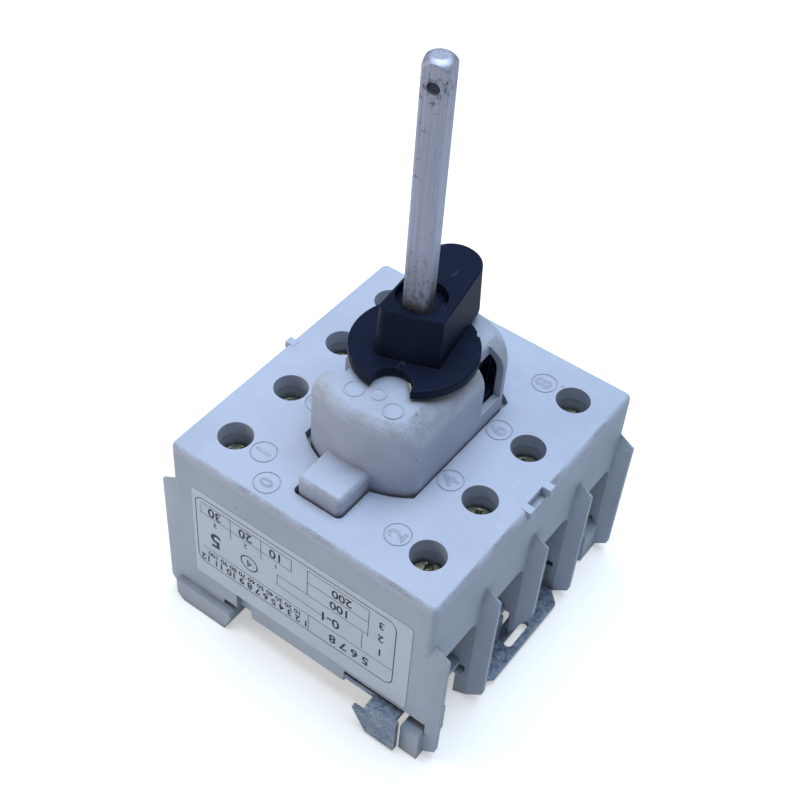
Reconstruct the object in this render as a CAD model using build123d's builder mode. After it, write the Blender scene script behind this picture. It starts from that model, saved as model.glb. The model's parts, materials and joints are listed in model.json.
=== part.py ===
from build123d import *
import math
import os

# Four-pole rotary switch-disconnector for a 35 mm rail, with a square extension shaft.
# Millimetres. The origin is on the shaft's axis, at the height where the body sits on the rail.
# +Z runs along the shaft, +X from the odd terminals to the even ones, +Y along the rail.
# The switch is drawn as it stands: the shaft is turned 14 degrees from its off stop.

# Body and poles
POLES = 4
POLE_PITCH = 17.0
BODY_HALF_X = 32.1
BODY_HALF_Y = 35.1
BODY_CORNER_R = 1.5
FLOOR_Z = 4.0
SEAM_Z = 38.9
TOP_Z = 41.0
PARTITION = 3.2
OUTER_WALL = 2.0
INNER_WALL = 1.6
CAVITY_HALF_X = 14.2
FOOT_Z = -8.0
LABEL_LEFT_X = -26.8
LABEL_RIGHT_X = 27.7
LABEL_FOOT_Z = 4.9
LABEL_TOP_Z = 31.9
LABEL_T = 0.12
POLE_Y = [(n - (POLES - 1) / 2) * POLE_PITCH for n in range(POLES)]
FIN_Y = [(n - POLES / 2) * POLE_PITCH for n in range(POLES + 1)]
CAVITY_HALF_Y = POLE_Y[-1] + (POLE_PITCH - PARTITION) / 2
CHAMBER_IN_X = CAVITY_HALF_X + INNER_WALL
CHAMBER_OUT_X = BODY_HALF_X - OUTER_WALL
CHAMBER_X = (CHAMBER_IN_X + CHAMBER_OUT_X) / 2
CHAMBER_W = POLE_PITCH - PARTITION

# Terminals
SCREW_X = 23.3
MOUTH_TOP_Z = 20.5
MOUTH_CORNER_R = 3.0
MOUTH_SILL_X = 29.6
SHELF_Z = 26.0
SHELF_T = 2.0
WELL_R = 3.7
WELL_TUBE_R = 5.2
WELL_TOP_Z = 37.5
ACCESS_R = 3.62
ACCESS_DEPTH = 3.4
HEAD_R = 3.4
HEAD_TOP_Z = 35.2
HEAD_T = 3.4
SLOT_TURN = 35.0
SHANK_R = 2.0
CAGE_LEN = 8.0
CAGE_W = 9.5
CAGE_WALL = 1.2
CAGE_TOP_Z = 23.5
CAGE_TOP_T = 3.0
RING_R = 2.75
RING_W = 0.25
RING_DEPTH = 0.15
EVEN_RING_X = 16.1
EVEN_RING_Y = 0.3
ODD_RING_X = -16.3
ODD_RING_Y = 0.2
SPARE_RING = (-10.8, -30.9)

# Latch spots on the lid's long edges
LATCH_Y = -0.9
LATCH_HALF_Y = 2.6
LATCH_DEPTH = 1.3
NUB_FRONT_Y = -4.5
NUB_REAR_Y = 2.7
NUB_LEFT_Y = 2.0
NUB_HALF_Y = 0.9
NUB_PROUD_X = 0.7
NUB_PROUD_Z = 0.1
NUB_T = 1.6

# Fixed contacts
STRIP_Z = 10.0
STRIP_T = 1.5
STRIP_W = 7.0
TONGUE_W = 3.6
TONGUE_Y = 4.4
TONGUE_END_X = 8.5
CROSSBAR_X = 12.8
TIP_SIZE = 3.0
TIP_T = 0.5
TIP_X = 10.4

# Turning parts: the pin's angle is counted from +X
REST_TURN = 14.0
CRANK_R = 6.2
PIN_ANGLE = -31.0
PIN_R = 1.5
PIN_X = CRANK_R * math.cos(math.radians(PIN_ANGLE))
PIN_Y = CRANK_R * math.sin(math.radians(PIN_ANGLE))
CRANK_DISC_R = 9.0
CRANK_Z = 25.0
CRANK_T = 3.0
SPINDLE_R = 6.0
SPINDLE_FLAT = 5.2
SPINDLE_SHOULDER_Z = 59.7
NECK_R = 4.5
NECK_FLAT = 3.6
NECK_TOP_Z = 66.0
SOCKET = 5.1
SOCKET_Z = 45.9
CAM_R = 8.0
CAM_Z = 37.2
CAM_T = 6.0
CIRCLIP_T = 0.8

# Contact carriage
CARRIAGE_HALF = 27.5
WEB_HALF_X = 6.5
WEB_Z = 8.0
FLANGE_HALF_X = 10.0
FLANGE_Z = 20.0
FLANGE_TOP_Z = 24.0
BRIDGE_HALF_X = 12.4
BRIDGE_W = 4.0
BRIDGE_T = 1.5
BRIDGE_GAP = 0.05
BRIDGE_WINDOW_TOP_Z = 18.5
BRIDGE_Y = [y + PIN_Y for y in POLE_Y]
FIXED_TIP_TOP_Z = STRIP_Z + STRIP_T + TIP_T
BRIDGE_Z = FIXED_TIP_TOP_Z + BRIDGE_GAP + TIP_T

# Mechanism, its frame and its cover
PLATE_Z = 35.4
PLATE_T = 1.5
PLATE_TOP_Z = PLATE_Z + PLATE_T
PLATE_HALF_X = 14.0
PLATE_HALF_Y = 27.0
MECH_SCREW_X = 11.6
MECH_SCREW_Y = 24.0
COVER_R = 20.4
COVER_REAR_SHIFT = 0.85
COVER_LEFT_X = -12.75
COVER_RIGHT_X = 13.0
COVER_TOP_Z = 59.0
COVER_WALL = 1.6
COVER_CEILING_T = 2.2
COVER_TOP_R = 3.4
COVER_SHOULDER_R = 6.2
COVER_LEFT_CORNER_R = 4.5
COVER_RIGHT_CORNER_R = 3.6
LUG_HALF_X = 5.2
LUG_Y = -29.0
LUG_TOP_Z = 45.3
LUG_WALL = 1.3
OPENING_GAP = 0.6
OPENING_LEFT_X = -13.35
OPENING_RIGHT_X = 13.3
LUG_GAP_LEFT = 0.7
LUG_GAP_RIGHT = 0.4
SILL_Z = 45.1
WINDOW_FRONT_Y = 6.05
WINDOW_REAR_Y = 12.85
WINDOW_IN_X = 9.7
WINDOW_BEND_Z = 50.0
WINDOW_ARC_MIDDLE = (12.3, 55.8)
WINDOW_TOP_Y = 11.0
NOTCH_FRONT_Y = -12.8
NOTCH_REAR_Y = -4.6
NOTCH_IN_X = -7.1
NOTCH_Z = 43.5
CHANNEL_OUT_X = -11.5
CHANNEL_Z = 54.0
SIDE_WALL_Z = 53.4
MARK_LIFT = 0.12
PLUNGER_Z = 40.5
PLUNGER_R = 2.5
PLUNGER_BACK_Y = 13.0
GUIDE_IN_Y = 9.5
EAR_Y = 15.8
EAR_HALF_X = 4.0
FRAME_Z = 44.6
FRAME_TOP_Z = 56.4
FRAME_WALL = 1.5
FRAME_GAP = 0.3

# Coupling and shaft
FLANGE_R = 12.8
FLANGE_BASE_Z = 59.7
FLANGE_T = 2.0
BLOCK_TOP_Z = 72.7
BLOCK_EDGE = 0.35
BLOCK_TURN = 7.3
BLOCK_LEFT_X = -5.85
BLOCK_LEFT_Y = -6.15
BLOCK_RIGHT_X = 6.95
BLOCK_RIGHT_Y = -2.9
BLOCK_FRONT_BULGE = 0.25
BLOCK_CORNER_R = 2.0
BLOCK_REAR_R = 5.7
BLOCK_REAR_X = 0.3
BLOCK_REAR_Y = 13.2
NOTCH_TURN = -76.0
NOTCH_R = 4.0
NOTCH_CENTRE_R = 11.4
NICK_TURN = 52.0
COUNTERBORE_R = 5.05
COUNTERBORE_X = -0.3
COUNTERBORE_Y = 1.4
COUNTERBORE_DEPTH = 2.5
GRUB_Z = 68.2
SHAFT = 5.0
SHAFT_ARRIS = 0.55
TIP_SHOULDER_R = 3.3
TIP_SHOULDER_T = 1.9
TIP_BEND_R = 2.6
TIP_BEND_T = 0.65
TIP_FLAT_R = 1.4
SHAFT_FOOT_Z = 46.0
SHAFT_TOP_Z = 125.0
CROSS_HOLE_Z = 120.0
CROSS_HOLE_R = 1.2

# Rail seat, hooks and toes
SEAT_LEFT_X = -16.2
SEAT_RIGHT_X = 16.4
SEAT_RECESS = 0.3
PROUD_Y = 36.6
HOOK_IN_Y = 27.6
HOOK_OUT_X = -32.0
HOOK_BACK_X = -19.7
HOOK_GROOVE_Z = -1.3
HOOK_TIP_X = -16.6
HOOK_TIP_Z = -3.0
HOOK_LIP_X = -17.2
HOOK_LIP_Z = -1.7
HOOK_HEEL_X = -30.2
HOOK_HEEL_Z = -6.2
HOOK_NOSE_X = -18.6
TOE_IN_X = 28.0
TOE_OUT_X = 32.4
TOE_IN_Y = 27.2
TOE_FOOT_Z = -7.5
TOE_TOP_Z = 0.7

# The sprung clip and what carries it
CLIP_T = 1.2
CLIP_TOP_Z = 2.5
CLIP_IN_X = 12.7
CLIP_OUT_X = 27.0
CLIP_BEND_X = 30.0
CLIP_LUG_Y = 38.2
CLIP_LUG_OUT_X = 27.8
CLIP_TOOTH_X = 17.0
CLIP_TOOTH_Z = -1.3
CLIP_FOOT_Z = -7.2
CLIP_TAB_Z = -5.2
CLIP_TAB_X = 34.9
CLIP_TAB_HALF_Y = 14.5
CLIP_SIDE_GAP = 0.9
CLIP_LUG_IN_X = 20.3
CLIP_NOTCH_HALF_Y = 2.6
CLIP_NOTCH_X = 17.0
CLIP_SLOT_TOP_Z = 2.7
CLIP_RAISED_Z = 3.7
CLIP_RAISED_X = 32.6
CLIP_RAISED_DEPTH = 1.6
CLIP_BRIDGE_IN_Y = 15.6
CLIP_BRIDGE_OUT_Y = 19.6
CLIP_SPRING_LEN = 4.6
SPRING_POST_IN_X = 25.25
SPRING_POST_OUT_X = 26.4
SPRING_POST_HALF_Y = 1.6
SPRING_POST_Z = 0.3

# Fins between the terminals
FIN_OUT_X = 35.5
FIN_FOOT_X = 35.3
FIN_FOOT_Z = -4.8
FIN_FOOT_R = 0.8
FIN_IN_X = 28.9
FIN_IN_Z = -7.9
FIN_TOP_Z = 29.6
FIN_KNEE_Z = 27.3
FIN_TIP_DROP = 0.6
FIN_EAVE_Z = 25.3
FIN_EDGE_T = 0.9
FIN_CLEAR_X = 30.9
FIN_CUT_TOP_X = 36.8
FIN_CUT_TOP_Z = 7.5
FIN_CUT_IN_X = 30.0
FIN_CUT_Z = -4.9

TERMINALS = [(side * SCREW_X, y) for side in (-1, 1) for y in POLE_Y]
MECH_SCREWS = [(x, y) for x in (-MECH_SCREW_X, MECH_SCREW_X) for y in (-MECH_SCREW_Y, MECH_SCREW_Y)]

os.makedirs("parts", exist_ok=True)


def write(piece, name):
    """Labels a finished piece and writes it to its own file."""
    piece.label = name
    export_step(piece, f"parts/{name}.step")


def upright(y):
    """The plane that faces -Y at this Y, with X across and Z up."""
    return Plane.XZ.offset(-y)


def block(x, y, z, mode=Mode.ADD):
    """A box between two values on each axis."""
    with Locations(((x[0] + x[1]) / 2, (y[0] + y[1]) / 2, (z[0] + z[1]) / 2)):
        Box(abs(x[1] - x[0]), abs(y[1] - y[0]), abs(z[1] - z[0]), mode=mode)


def coil(radius, wire, length, turns):
    """A compression spring along +Z from its own origin."""
    with BuildPart() as spring:
        with BuildLine():
            path = Helix(pitch=(length - 2 * wire) / turns, height=length - 2 * wire, radius=radius)
        with BuildSketch(Plane(origin=path @ 0, z_dir=path % 0)):
            Circle(wire)
        sweep(path=path, is_frenet=True)
    return spring.part.moved(Location((0, 0, wire)))


def fin(side, front, back):
    """A fin on one side, as thick at the wall as front + back, with its ridge at y = 0."""
    with BuildPart() as blade:
        with BuildSketch(Plane.XZ):
            with BuildLine():
                Polyline((side * FIN_IN_X, FIN_IN_Z), (side * FIN_FOOT_X, FIN_FOOT_Z),
                         (side * FIN_OUT_X, FIN_KNEE_Z), (side * BODY_HALF_X, FIN_TOP_Z),
                         (side * FIN_IN_X, FIN_TOP_Z), close=True)
            make_face()
            foot = vertices().sort_by(Axis.Y)[:2].sort_by(lambda v: abs(v.X))[-1]
            fillet(foot, FIN_FOOT_R)
        extrude(amount=2 * PARTITION, both=True)
        with BuildSketch(Plane.XY.offset(FIN_IN_Z - 1)):
            edge_front = min(front, FIN_EDGE_T / 2)
            with BuildLine():
                Polyline((side * FIN_IN_X, -front), (side * BODY_HALF_X, -front),
                         (side * FIN_OUT_X, -edge_front), (side * FIN_OUT_X, FIN_EDGE_T / 2),
                         (side * BODY_HALF_X, back), (side * FIN_IN_X, back), close=True)
            make_face()
        extrude(amount=FIN_TOP_Z - FIN_IN_Z + 2, mode=Mode.INTERSECT)
        ridge = Vector(side * BODY_HALF_X, 0, FIN_TOP_Z)
        for way, depth in ((-1, front), (1, back)):
            eave = Vector(side * BODY_HALF_X, way * depth, FIN_EAVE_Z)
            tip = Vector(side * FIN_OUT_X, way * FIN_EDGE_T / 2, FIN_KNEE_Z - FIN_TIP_DROP)
            normal = (eave - ridge).cross(tip - ridge)
            if normal.Z < 0:
                normal = normal * -1
            split(bisect_by=Plane(origin=ridge, z_dir=normal), keep=Keep.BOTTOM)
    return blade.part


def block_outline(height, front_grow, side_grow):
    """The plan of the coupling's block: a slanted front and a round rear end."""
    rear_r = BLOCK_REAR_R + side_grow
    left = (BLOCK_LEFT_X - side_grow, BLOCK_LEFT_Y - front_grow)
    right = (BLOCK_RIGHT_X + side_grow, BLOCK_RIGHT_Y - front_grow)
    rear_left = (BLOCK_REAR_X - rear_r, BLOCK_REAR_Y)
    rear_right = (BLOCK_REAR_X + rear_r, BLOCK_REAR_Y)
    front = ((left[0] + right[0]) / 2, (left[1] + right[1]) / 2 - BLOCK_FRONT_BULGE)
    with BuildSketch(Plane.XY.offset(height).rotated((0, 0, BLOCK_TURN))) as outline:
        with BuildLine():
            Line(rear_left, left)
            ThreePointArc(left, front, right)
            Line(right, rear_right)
            ThreePointArc(rear_right, (BLOCK_REAR_X, BLOCK_REAR_Y + rear_r), rear_left)
        make_face()
        fillet(outline.vertices().sort_by(Axis.Y)[0], BLOCK_CORNER_R)
    return outline.sketch.face()


def cap_body(inset, foot_z, top_z):
    """The cap's form from one height to another, with every wall moved inwards by the inset.

    It is round in plan at the front and the rear, flat at both sides, and its top falls
    away over a wide shoulder on each side. The front corners are rounded on the outside
    only.
    """
    left = COVER_LEFT_X + inset
    right = COVER_RIGHT_X - inset
    centre_x = (left + right) / 2
    with BuildPart() as body:
        with BuildSketch(Plane.XY.offset(foot_z)) as plan:
            Circle(COVER_R - inset)
            with Locations((0, -COVER_REAR_SHIFT)):
                Circle(COVER_R - inset, mode=Mode.INTERSECT)
            with Locations((centre_x, 0)):
                Rectangle(right - left, 4 * COVER_R, mode=Mode.INTERSECT)
            for side, radius in ((-1, COVER_LEFT_CORNER_R), (1, COVER_RIGHT_CORNER_R)):
                corner = [v for v in plan.vertices() if v.Y < -COVER_R / 2 and v.X * side > right - 1]
                if inset == 0:
                    fillet(corner, radius)
        extrude(amount=top_z - foot_z)
        with BuildSketch(Plane.XZ):
            with Locations((centre_x, (foot_z + top_z) / 2)):
                Rectangle(right - left, top_z - foot_z)
            fillet(vertices().group_by(Axis.Y)[-1], COVER_SHOULDER_R - inset)
        extrude(amount=2 * COVER_R, both=True, mode=Mode.INTERSECT)
    return body.part


# Base housing: one moulding from the rail hooks to the seam under the lid.
with BuildPart() as base_housing:
    with BuildSketch():
        Rectangle(2 * BODY_HALF_X, 2 * BODY_HALF_Y)
        fillet(vertices(), BODY_CORNER_R)
    extrude(amount=SEAM_Z)
    # The long hollow for the carriage and the mechanism
    block((-CAVITY_HALF_X, CAVITY_HALF_X), (-CAVITY_HALF_Y, CAVITY_HALF_Y), (FLOOR_Z, SEAM_Z),
          mode=Mode.SUBTRACT)
    # Terminal chambers, with a shelf that carries each screw well
    for low, high in ((FLOOR_Z, SHELF_Z), (SHELF_Z + SHELF_T, SEAM_Z)):
        with BuildSketch(Plane.XY.offset(low)):
            with Locations(*[(side * CHAMBER_X, y) for side in (-1, 1) for y in POLE_Y]):
                Rectangle(CHAMBER_OUT_X - CHAMBER_IN_X, CHAMBER_W)
        extrude(amount=high - low, mode=Mode.SUBTRACT)
    with BuildSketch(Plane.XY.offset(SHELF_Z)):
        with Locations(*TERMINALS):
            Circle(WELL_TUBE_R)
    extrude(amount=WELL_TOP_Z - SHELF_Z)
    with BuildSketch(Plane.XY.offset(SHELF_Z + SHELF_T)):
        with Locations(*TERMINALS):
            Circle(WELL_R)
    extrude(amount=WELL_TOP_Z - SHELF_Z, mode=Mode.SUBTRACT)
    with BuildSketch(Plane.XY.offset(SHELF_Z)):
        with Locations(*TERMINALS):
            Circle(SHANK_R + 0.2)
    extrude(amount=SHELF_T, mode=Mode.SUBTRACT)
    # Wire mouths with rounded top corners, open down to the underside
    for side in (-1, 1):
        with BuildSketch(Plane.YZ.offset(side * (BODY_HALF_X + 1))):
            with Locations(*[(y, (FLOOR_Z + MOUTH_TOP_Z) / 2) for y in POLE_Y]):
                Rectangle(CHAMBER_W, MOUTH_TOP_Z - FLOOR_Z)
            fillet(vertices().group_by(Axis.Y)[-1], MOUTH_CORNER_R)
        extrude(amount=-side * (OUTER_WALL + 1.5), mode=Mode.SUBTRACT)
        for y in POLE_Y:
            block((side * MOUTH_SILL_X, side * (BODY_HALF_X + 1)),
                  (y - CHAMBER_W / 2, y + CHAMBER_W / 2), (0, FLOOR_Z), mode=Mode.SUBTRACT)
    # Slots through the inner walls for the contact strips
    for side in (-1, 1):
        for y in POLE_Y:
            block((side * (CAVITY_HALF_X - 0.1), side * (CHAMBER_IN_X + 0.1)),
                  (y - STRIP_W / 2 - 0.1, y + TONGUE_Y + TONGUE_W / 2 + 0.1),
                  (STRIP_Z, STRIP_Z + STRIP_T + 0.1), mode=Mode.SUBTRACT)
    # Guide lugs that carry the carriage's flange, between the poles
    for side in (-1, 1):
        for y in FIN_Y[1:-1]:
            block((side * 7.8, side * CAVITY_HALF_X), (y - 2.5, y + 2.5), (16.0, FLANGE_Z - 0.1))
            block((side * (FLANGE_HALF_X + 0.15), side * CAVITY_HALF_X), (y - 2.5, y + 2.5),
                  (FLANGE_Z - 0.1, FLANGE_TOP_Z))
    # Bosses under the bearing plate
    for side in (-1, 1):
        for y in (-MECH_SCREW_Y, MECH_SCREW_Y):
            block((side * 9.2, side * CAVITY_HALF_X), (y - 2.6, y + 2.6), (27.0, PLATE_Z))
            with Locations((side * MECH_SCREW_X, y, PLATE_Z - 3.0)):
                Cylinder(1.3, 6.0, mode=Mode.SUBTRACT)
    # Underside slot for the clip plate
    block((CLIP_IN_X - 0.2, FIN_CLEAR_X), (-40, 40), (0, CLIP_SLOT_TOP_Z), mode=Mode.SUBTRACT)
    # Bridges under the clip plate, from the seat to the fins on that side
    for side in (-1, 1):
        block((CLIP_IN_X - 1, FIN_CLEAR_X), (side * CLIP_BRIDGE_IN_Y, side * CLIP_BRIDGE_OUT_Y),
              (0, CLIP_TOP_Z - CLIP_T - 0.1))
    # The underside is recessed beside the pad that rests on the rail
    block((-CHAMBER_OUT_X, SEAT_LEFT_X), (-HOOK_IN_Y, HOOK_IN_Y), (0, SEAT_RECESS),
          mode=Mode.SUBTRACT)
    block((HOOK_BACK_X, SEAT_LEFT_X), (-40, 40), (0, SEAT_RECESS), mode=Mode.SUBTRACT)
    block((SEAT_RIGHT_X, FIN_CLEAR_X), (-40, 40), (0, SEAT_RECESS), mode=Mode.SUBTRACT)
    # Recess beside the hook on the label face and on the far face
    for side in (-1, 1):
        block((-16.0, -12.0), (side * (BODY_HALF_Y - 1.2), side * 40), (-0.1, 5.0),
              mode=Mode.SUBTRACT)
    # Fixed hooks: a grooved jaw at each end of the -X edge
    for side in (-1, 1):
        with BuildSketch(upright(side * HOOK_IN_Y)):
            with BuildLine():
                Polyline((HOOK_OUT_X, 0.0), (HOOK_OUT_X, HOOK_HEEL_Z), (HOOK_HEEL_X, FOOT_Z),
                         (HOOK_NOSE_X, FOOT_Z), (HOOK_TIP_X, HOOK_TIP_Z), (HOOK_LIP_X, HOOK_LIP_Z),
                         (HOOK_BACK_X, HOOK_GROOVE_Z), (HOOK_BACK_X, 0.0), close=True)
            make_face()
        extrude(amount=-side * (PROUD_Y - HOOK_IN_Y))
        block((HOOK_OUT_X - 1, -15), (side * BODY_HALF_Y, side * 40), (-1.8, 0.5),
              mode=Mode.SUBTRACT)
    # Fins, the end ones with their outer faces flush with the body's end faces
    end_face = BODY_HALF_Y + FIN_Y[0]
    for side in (-1, 1):
        middle = fin(side, PARTITION / 2, PARTITION / 2)
        near_end = fin(side, end_face, PARTITION / 2)
        far_end = fin(side, PARTITION / 2, end_face)
        for y in FIN_Y[1:-1]:
            add(middle.moved(Location((0, y, 0))))
        add(near_end.moved(Location((0, FIN_Y[0], 0))))
        add(far_end.moved(Location((0, FIN_Y[-1], 0))))
    # Room for the clip's plate and its tab, which slide outwards between the fins
    block((FIN_IN_X - 1, FIN_CLEAR_X), (-40, 40), (CLIP_TOP_Z - CLIP_T - 0.1, CLIP_SLOT_TOP_Z),
          mode=Mode.SUBTRACT)
    tab_room_y = CLIP_TAB_HALF_Y + CLIP_SIDE_GAP
    block((FIN_IN_X - 1, FIN_CLEAR_X), (-tab_room_y, tab_room_y), (FOOT_Z - 1, CLIP_SLOT_TOP_Z),
          mode=Mode.SUBTRACT)
    for side in (-1, 1):
        block((FIN_CLEAR_X - 1, 40), (side * PARTITION / 2, side * tab_room_y),
              (0, CLIP_SLOT_TOP_Z), mode=Mode.SUBTRACT)
    # The slot is higher at both end faces, where the clip's lugs leave it
    for side in (-1, 1):
        block((CLIP_IN_X - 0.2, CLIP_RAISED_X), (side * (BODY_HALF_Y - CLIP_RAISED_DEPTH), side * 40),
              (0, CLIP_RAISED_Z), mode=Mode.SUBTRACT)
    # Toes at each end of the +X edge
    for side in (-1, 1):
        block((TOE_IN_X, TOE_OUT_X), (side * TOE_IN_Y, side * PROUD_Y), (TOE_FOOT_Z, TOE_TOP_Z))
    # The middle fin on the clip's side is cut off slantwise above the tab
    with BuildSketch(upright(0)):
        with BuildLine():
            Polyline((FIN_CUT_TOP_X, FIN_CUT_TOP_Z), (FIN_CLEAR_X, FIN_CUT_Z), (FIN_CUT_IN_X, FIN_CUT_Z),
                     (FIN_CUT_IN_X, FOOT_Z - 1), (FIN_CUT_TOP_X, FOOT_Z - 1), close=True)
        make_face()
    extrude(amount=PARTITION, both=True, mode=Mode.SUBTRACT)
    # Post in the plate's notch, for the clip's return spring
    block((SPRING_POST_IN_X, SPRING_POST_OUT_X), (-SPRING_POST_HALF_Y, SPRING_POST_HALF_Y),
          (SPRING_POST_Z, CLIP_SLOT_TOP_Z + 0.3))
write(base_housing.part, "base_housing")


# Lid: plate with a collar round each access hole and an opening for the mechanism cover.
with BuildPart() as top_cover:
    with BuildSketch(Plane.XY.offset(SEAM_Z)):
        Rectangle(2 * BODY_HALF_X, 2 * BODY_HALF_Y)
        fillet(vertices(), BODY_CORNER_R)
    extrude(amount=TOP_Z - SEAM_Z)
    fillet(top_cover.edges().group_by(Axis.Z)[-1], 1.2)
    with BuildSketch(Plane.XY.offset(TOP_Z - ACCESS_DEPTH)):
        with Locations(*TERMINALS):
            Circle(ACCESS_R + 1.0)
    extrude(amount=ACCESS_DEPTH - 0.5)
    with BuildSketch(Plane.XY.offset(TOP_Z - ACCESS_DEPTH)):
        with Locations(*TERMINALS):
            Circle(ACCESS_R)
    extrude(amount=ACCESS_DEPTH, mode=Mode.SUBTRACT)
    with BuildSketch(Plane.XY.offset(SEAM_Z)):
        Circle(COVER_R + OPENING_GAP)
        with Locations(((OPENING_LEFT_X + OPENING_RIGHT_X) / 2, 0)):
            Rectangle(OPENING_RIGHT_X - OPENING_LEFT_X, 4 * COVER_R, mode=Mode.INTERSECT)
    extrude(amount=TOP_Z, mode=Mode.SUBTRACT)
    with BuildSketch(Plane.XY.offset(SEAM_Z)):
        with Locations(((LUG_GAP_RIGHT - LUG_GAP_LEFT) / 2, (LUG_Y - 0.4) / 2)):
            Rectangle(2 * LUG_HALF_X + LUG_GAP_LEFT + LUG_GAP_RIGHT, 0.4 - LUG_Y)
        fillet(vertices().group_by(Axis.Y)[0], 1.2)
    extrude(amount=TOP_Z, mode=Mode.SUBTRACT)
    # Latch spots on the long edges: a recess between two nubs at the right, one nub at the left
    block((BODY_HALF_X - LATCH_DEPTH, 2 * BODY_HALF_X),
          (LATCH_Y - LATCH_HALF_Y, LATCH_Y + LATCH_HALF_Y), (SEAM_Z, TOP_Z), mode=Mode.SUBTRACT)
    for side, nub_y in ((1, NUB_FRONT_Y), (1, NUB_REAR_Y), (-1, NUB_LEFT_Y)):
        block((side * (BODY_HALF_X - NUB_T), side * (BODY_HALF_X + NUB_PROUD_X)),
              (nub_y - NUB_HALF_Y, nub_y + NUB_HALF_Y), (TOP_Z - NUB_T, TOP_Z + NUB_PROUD_Z))
    # Moulded rings round the terminal numbers, beside the access holes
    with BuildSketch(Plane.XY.offset(TOP_Z)):
        with Locations(*[(EVEN_RING_X, y + EVEN_RING_Y) for y in POLE_Y],
                       *[(ODD_RING_X, y + ODD_RING_Y) for y in POLE_Y], SPARE_RING):
            Circle(RING_R)
            Circle(RING_R - RING_W, mode=Mode.SUBTRACT)
    extrude(amount=-RING_DEPTH, mode=Mode.SUBTRACT)
write(top_cover.part, "top_cover")


# Mechanism cover: a hollow cap with a front lug, a window at the right and a notch at the left.
with BuildPart() as mechanism_cover:
    add(cap_body(0, PLATE_TOP_Z, COVER_TOP_Z))
    top_arcs = mechanism_cover.edges().group_by(Axis.Z)[-1].filter_by(GeomType.CIRCLE)
    fillet(top_arcs, COVER_TOP_R)
    # Foot flange under the lid
    with BuildSketch(Plane.XY.offset(PLATE_TOP_Z)):
        Circle(COVER_R + 1.2)
        Rectangle(2 * (CAVITY_HALF_X - 0.2), 4 * COVER_R, mode=Mode.INTERSECT)
    extrude(amount=SEAM_Z - PLATE_TOP_Z - 0.1)
    # Front lug, rounded on its top edges
    with BuildPart(mode=Mode.PRIVATE) as front_lug:
        block((-LUG_HALF_X, LUG_HALF_X), (LUG_Y, -17.0), (PLATE_TOP_Z, LUG_TOP_Z))
        fillet(front_lug.edges().filter_by(Axis.Z).group_by(Axis.Y)[0], LUG_WALL)
        fillet(front_lug.edges().group_by(Axis.Z)[-1], LUG_WALL - 0.1)
    add(front_lug.part)
    # The hollow inside the cap and the lug
    add(cap_body(COVER_WALL, PLATE_TOP_Z, COVER_TOP_Z - COVER_CEILING_T), mode=Mode.SUBTRACT)
    block((-LUG_HALF_X + LUG_WALL, LUG_HALF_X - LUG_WALL), (LUG_Y + LUG_WALL, 0.2 - COVER_R),
          (PLATE_TOP_Z, LUG_TOP_Z - LUG_WALL - 0.1), mode=Mode.SUBTRACT)
    # Hole for the spindle
    with Locations((0, 0, COVER_TOP_Z)):
        Cylinder(SPINDLE_R + 0.3, 8.0, mode=Mode.SUBTRACT)
    # Window at the right, cut through the side and its shoulder, with its rear edge curved
    with BuildSketch(Plane.YZ.offset(WINDOW_IN_X)):
        with BuildLine():
            Polyline((WINDOW_FRONT_Y, COVER_TOP_Z + 1), (WINDOW_FRONT_Y, SILL_Z),
                     (WINDOW_REAR_Y, SILL_Z), (WINDOW_REAR_Y, WINDOW_BEND_Z))
            ThreePointArc((WINDOW_REAR_Y, WINDOW_BEND_Z), WINDOW_ARC_MIDDLE,
                          (WINDOW_TOP_Y, COVER_TOP_Z + 1))
            Line((WINDOW_TOP_Y, COVER_TOP_Z + 1), (WINDOW_FRONT_Y, COVER_TOP_Z + 1))
        make_face()
    extrude(amount=COVER_RIGHT_X, mode=Mode.SUBTRACT)
    # Openings at the left: a deep notch, a channel behind it and the low outer wall
    left_x = COVER_LEFT_X - 1
    block((left_x, NOTCH_IN_X), (NOTCH_FRONT_Y, NOTCH_REAR_Y), (NOTCH_Z, COVER_TOP_Z + 1),
          mode=Mode.SUBTRACT)
    block((CHANNEL_OUT_X, NOTCH_IN_X), (NOTCH_REAR_Y - 0.1, COVER_R), (CHANNEL_Z, COVER_TOP_Z + 1),
          mode=Mode.SUBTRACT)
    block((left_x, CHANNEL_OUT_X), (NOTCH_REAR_Y - 0.1, COVER_R), (SIDE_WALL_Z, COVER_TOP_Z + 1),
          mode=Mode.SUBTRACT)
    # Moulding marks on the top: two discs and a ring
    with BuildSketch(Plane.XY.offset(COVER_TOP_Z)):
        with Locations((-3.1, -14.75), (5.9, -14.7)):
            Circle(2.05)
            Circle(1.8, mode=Mode.SUBTRACT)
        with Locations((1.2, -12.9)):
            Circle(1.7)
            Circle(1.25, mode=Mode.SUBTRACT)
    extrude(amount=MARK_LIFT)
write(mechanism_cover.part, "mechanism_cover")


# Rating label: a thin sheet on the -Y face.
with BuildPart() as rating_label:
    with BuildSketch(upright(-BODY_HALF_Y)):
        with Locations(((LABEL_LEFT_X + LABEL_RIGHT_X) / 2, (LABEL_FOOT_Z + LABEL_TOP_Z) / 2)):
            Rectangle(LABEL_RIGHT_X - LABEL_LEFT_X, LABEL_TOP_Z - LABEL_FOOT_Z)
        fillet(vertices(), 0.8)
    extrude(amount=LABEL_T)
write(rating_label.part, "rating_label")


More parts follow.
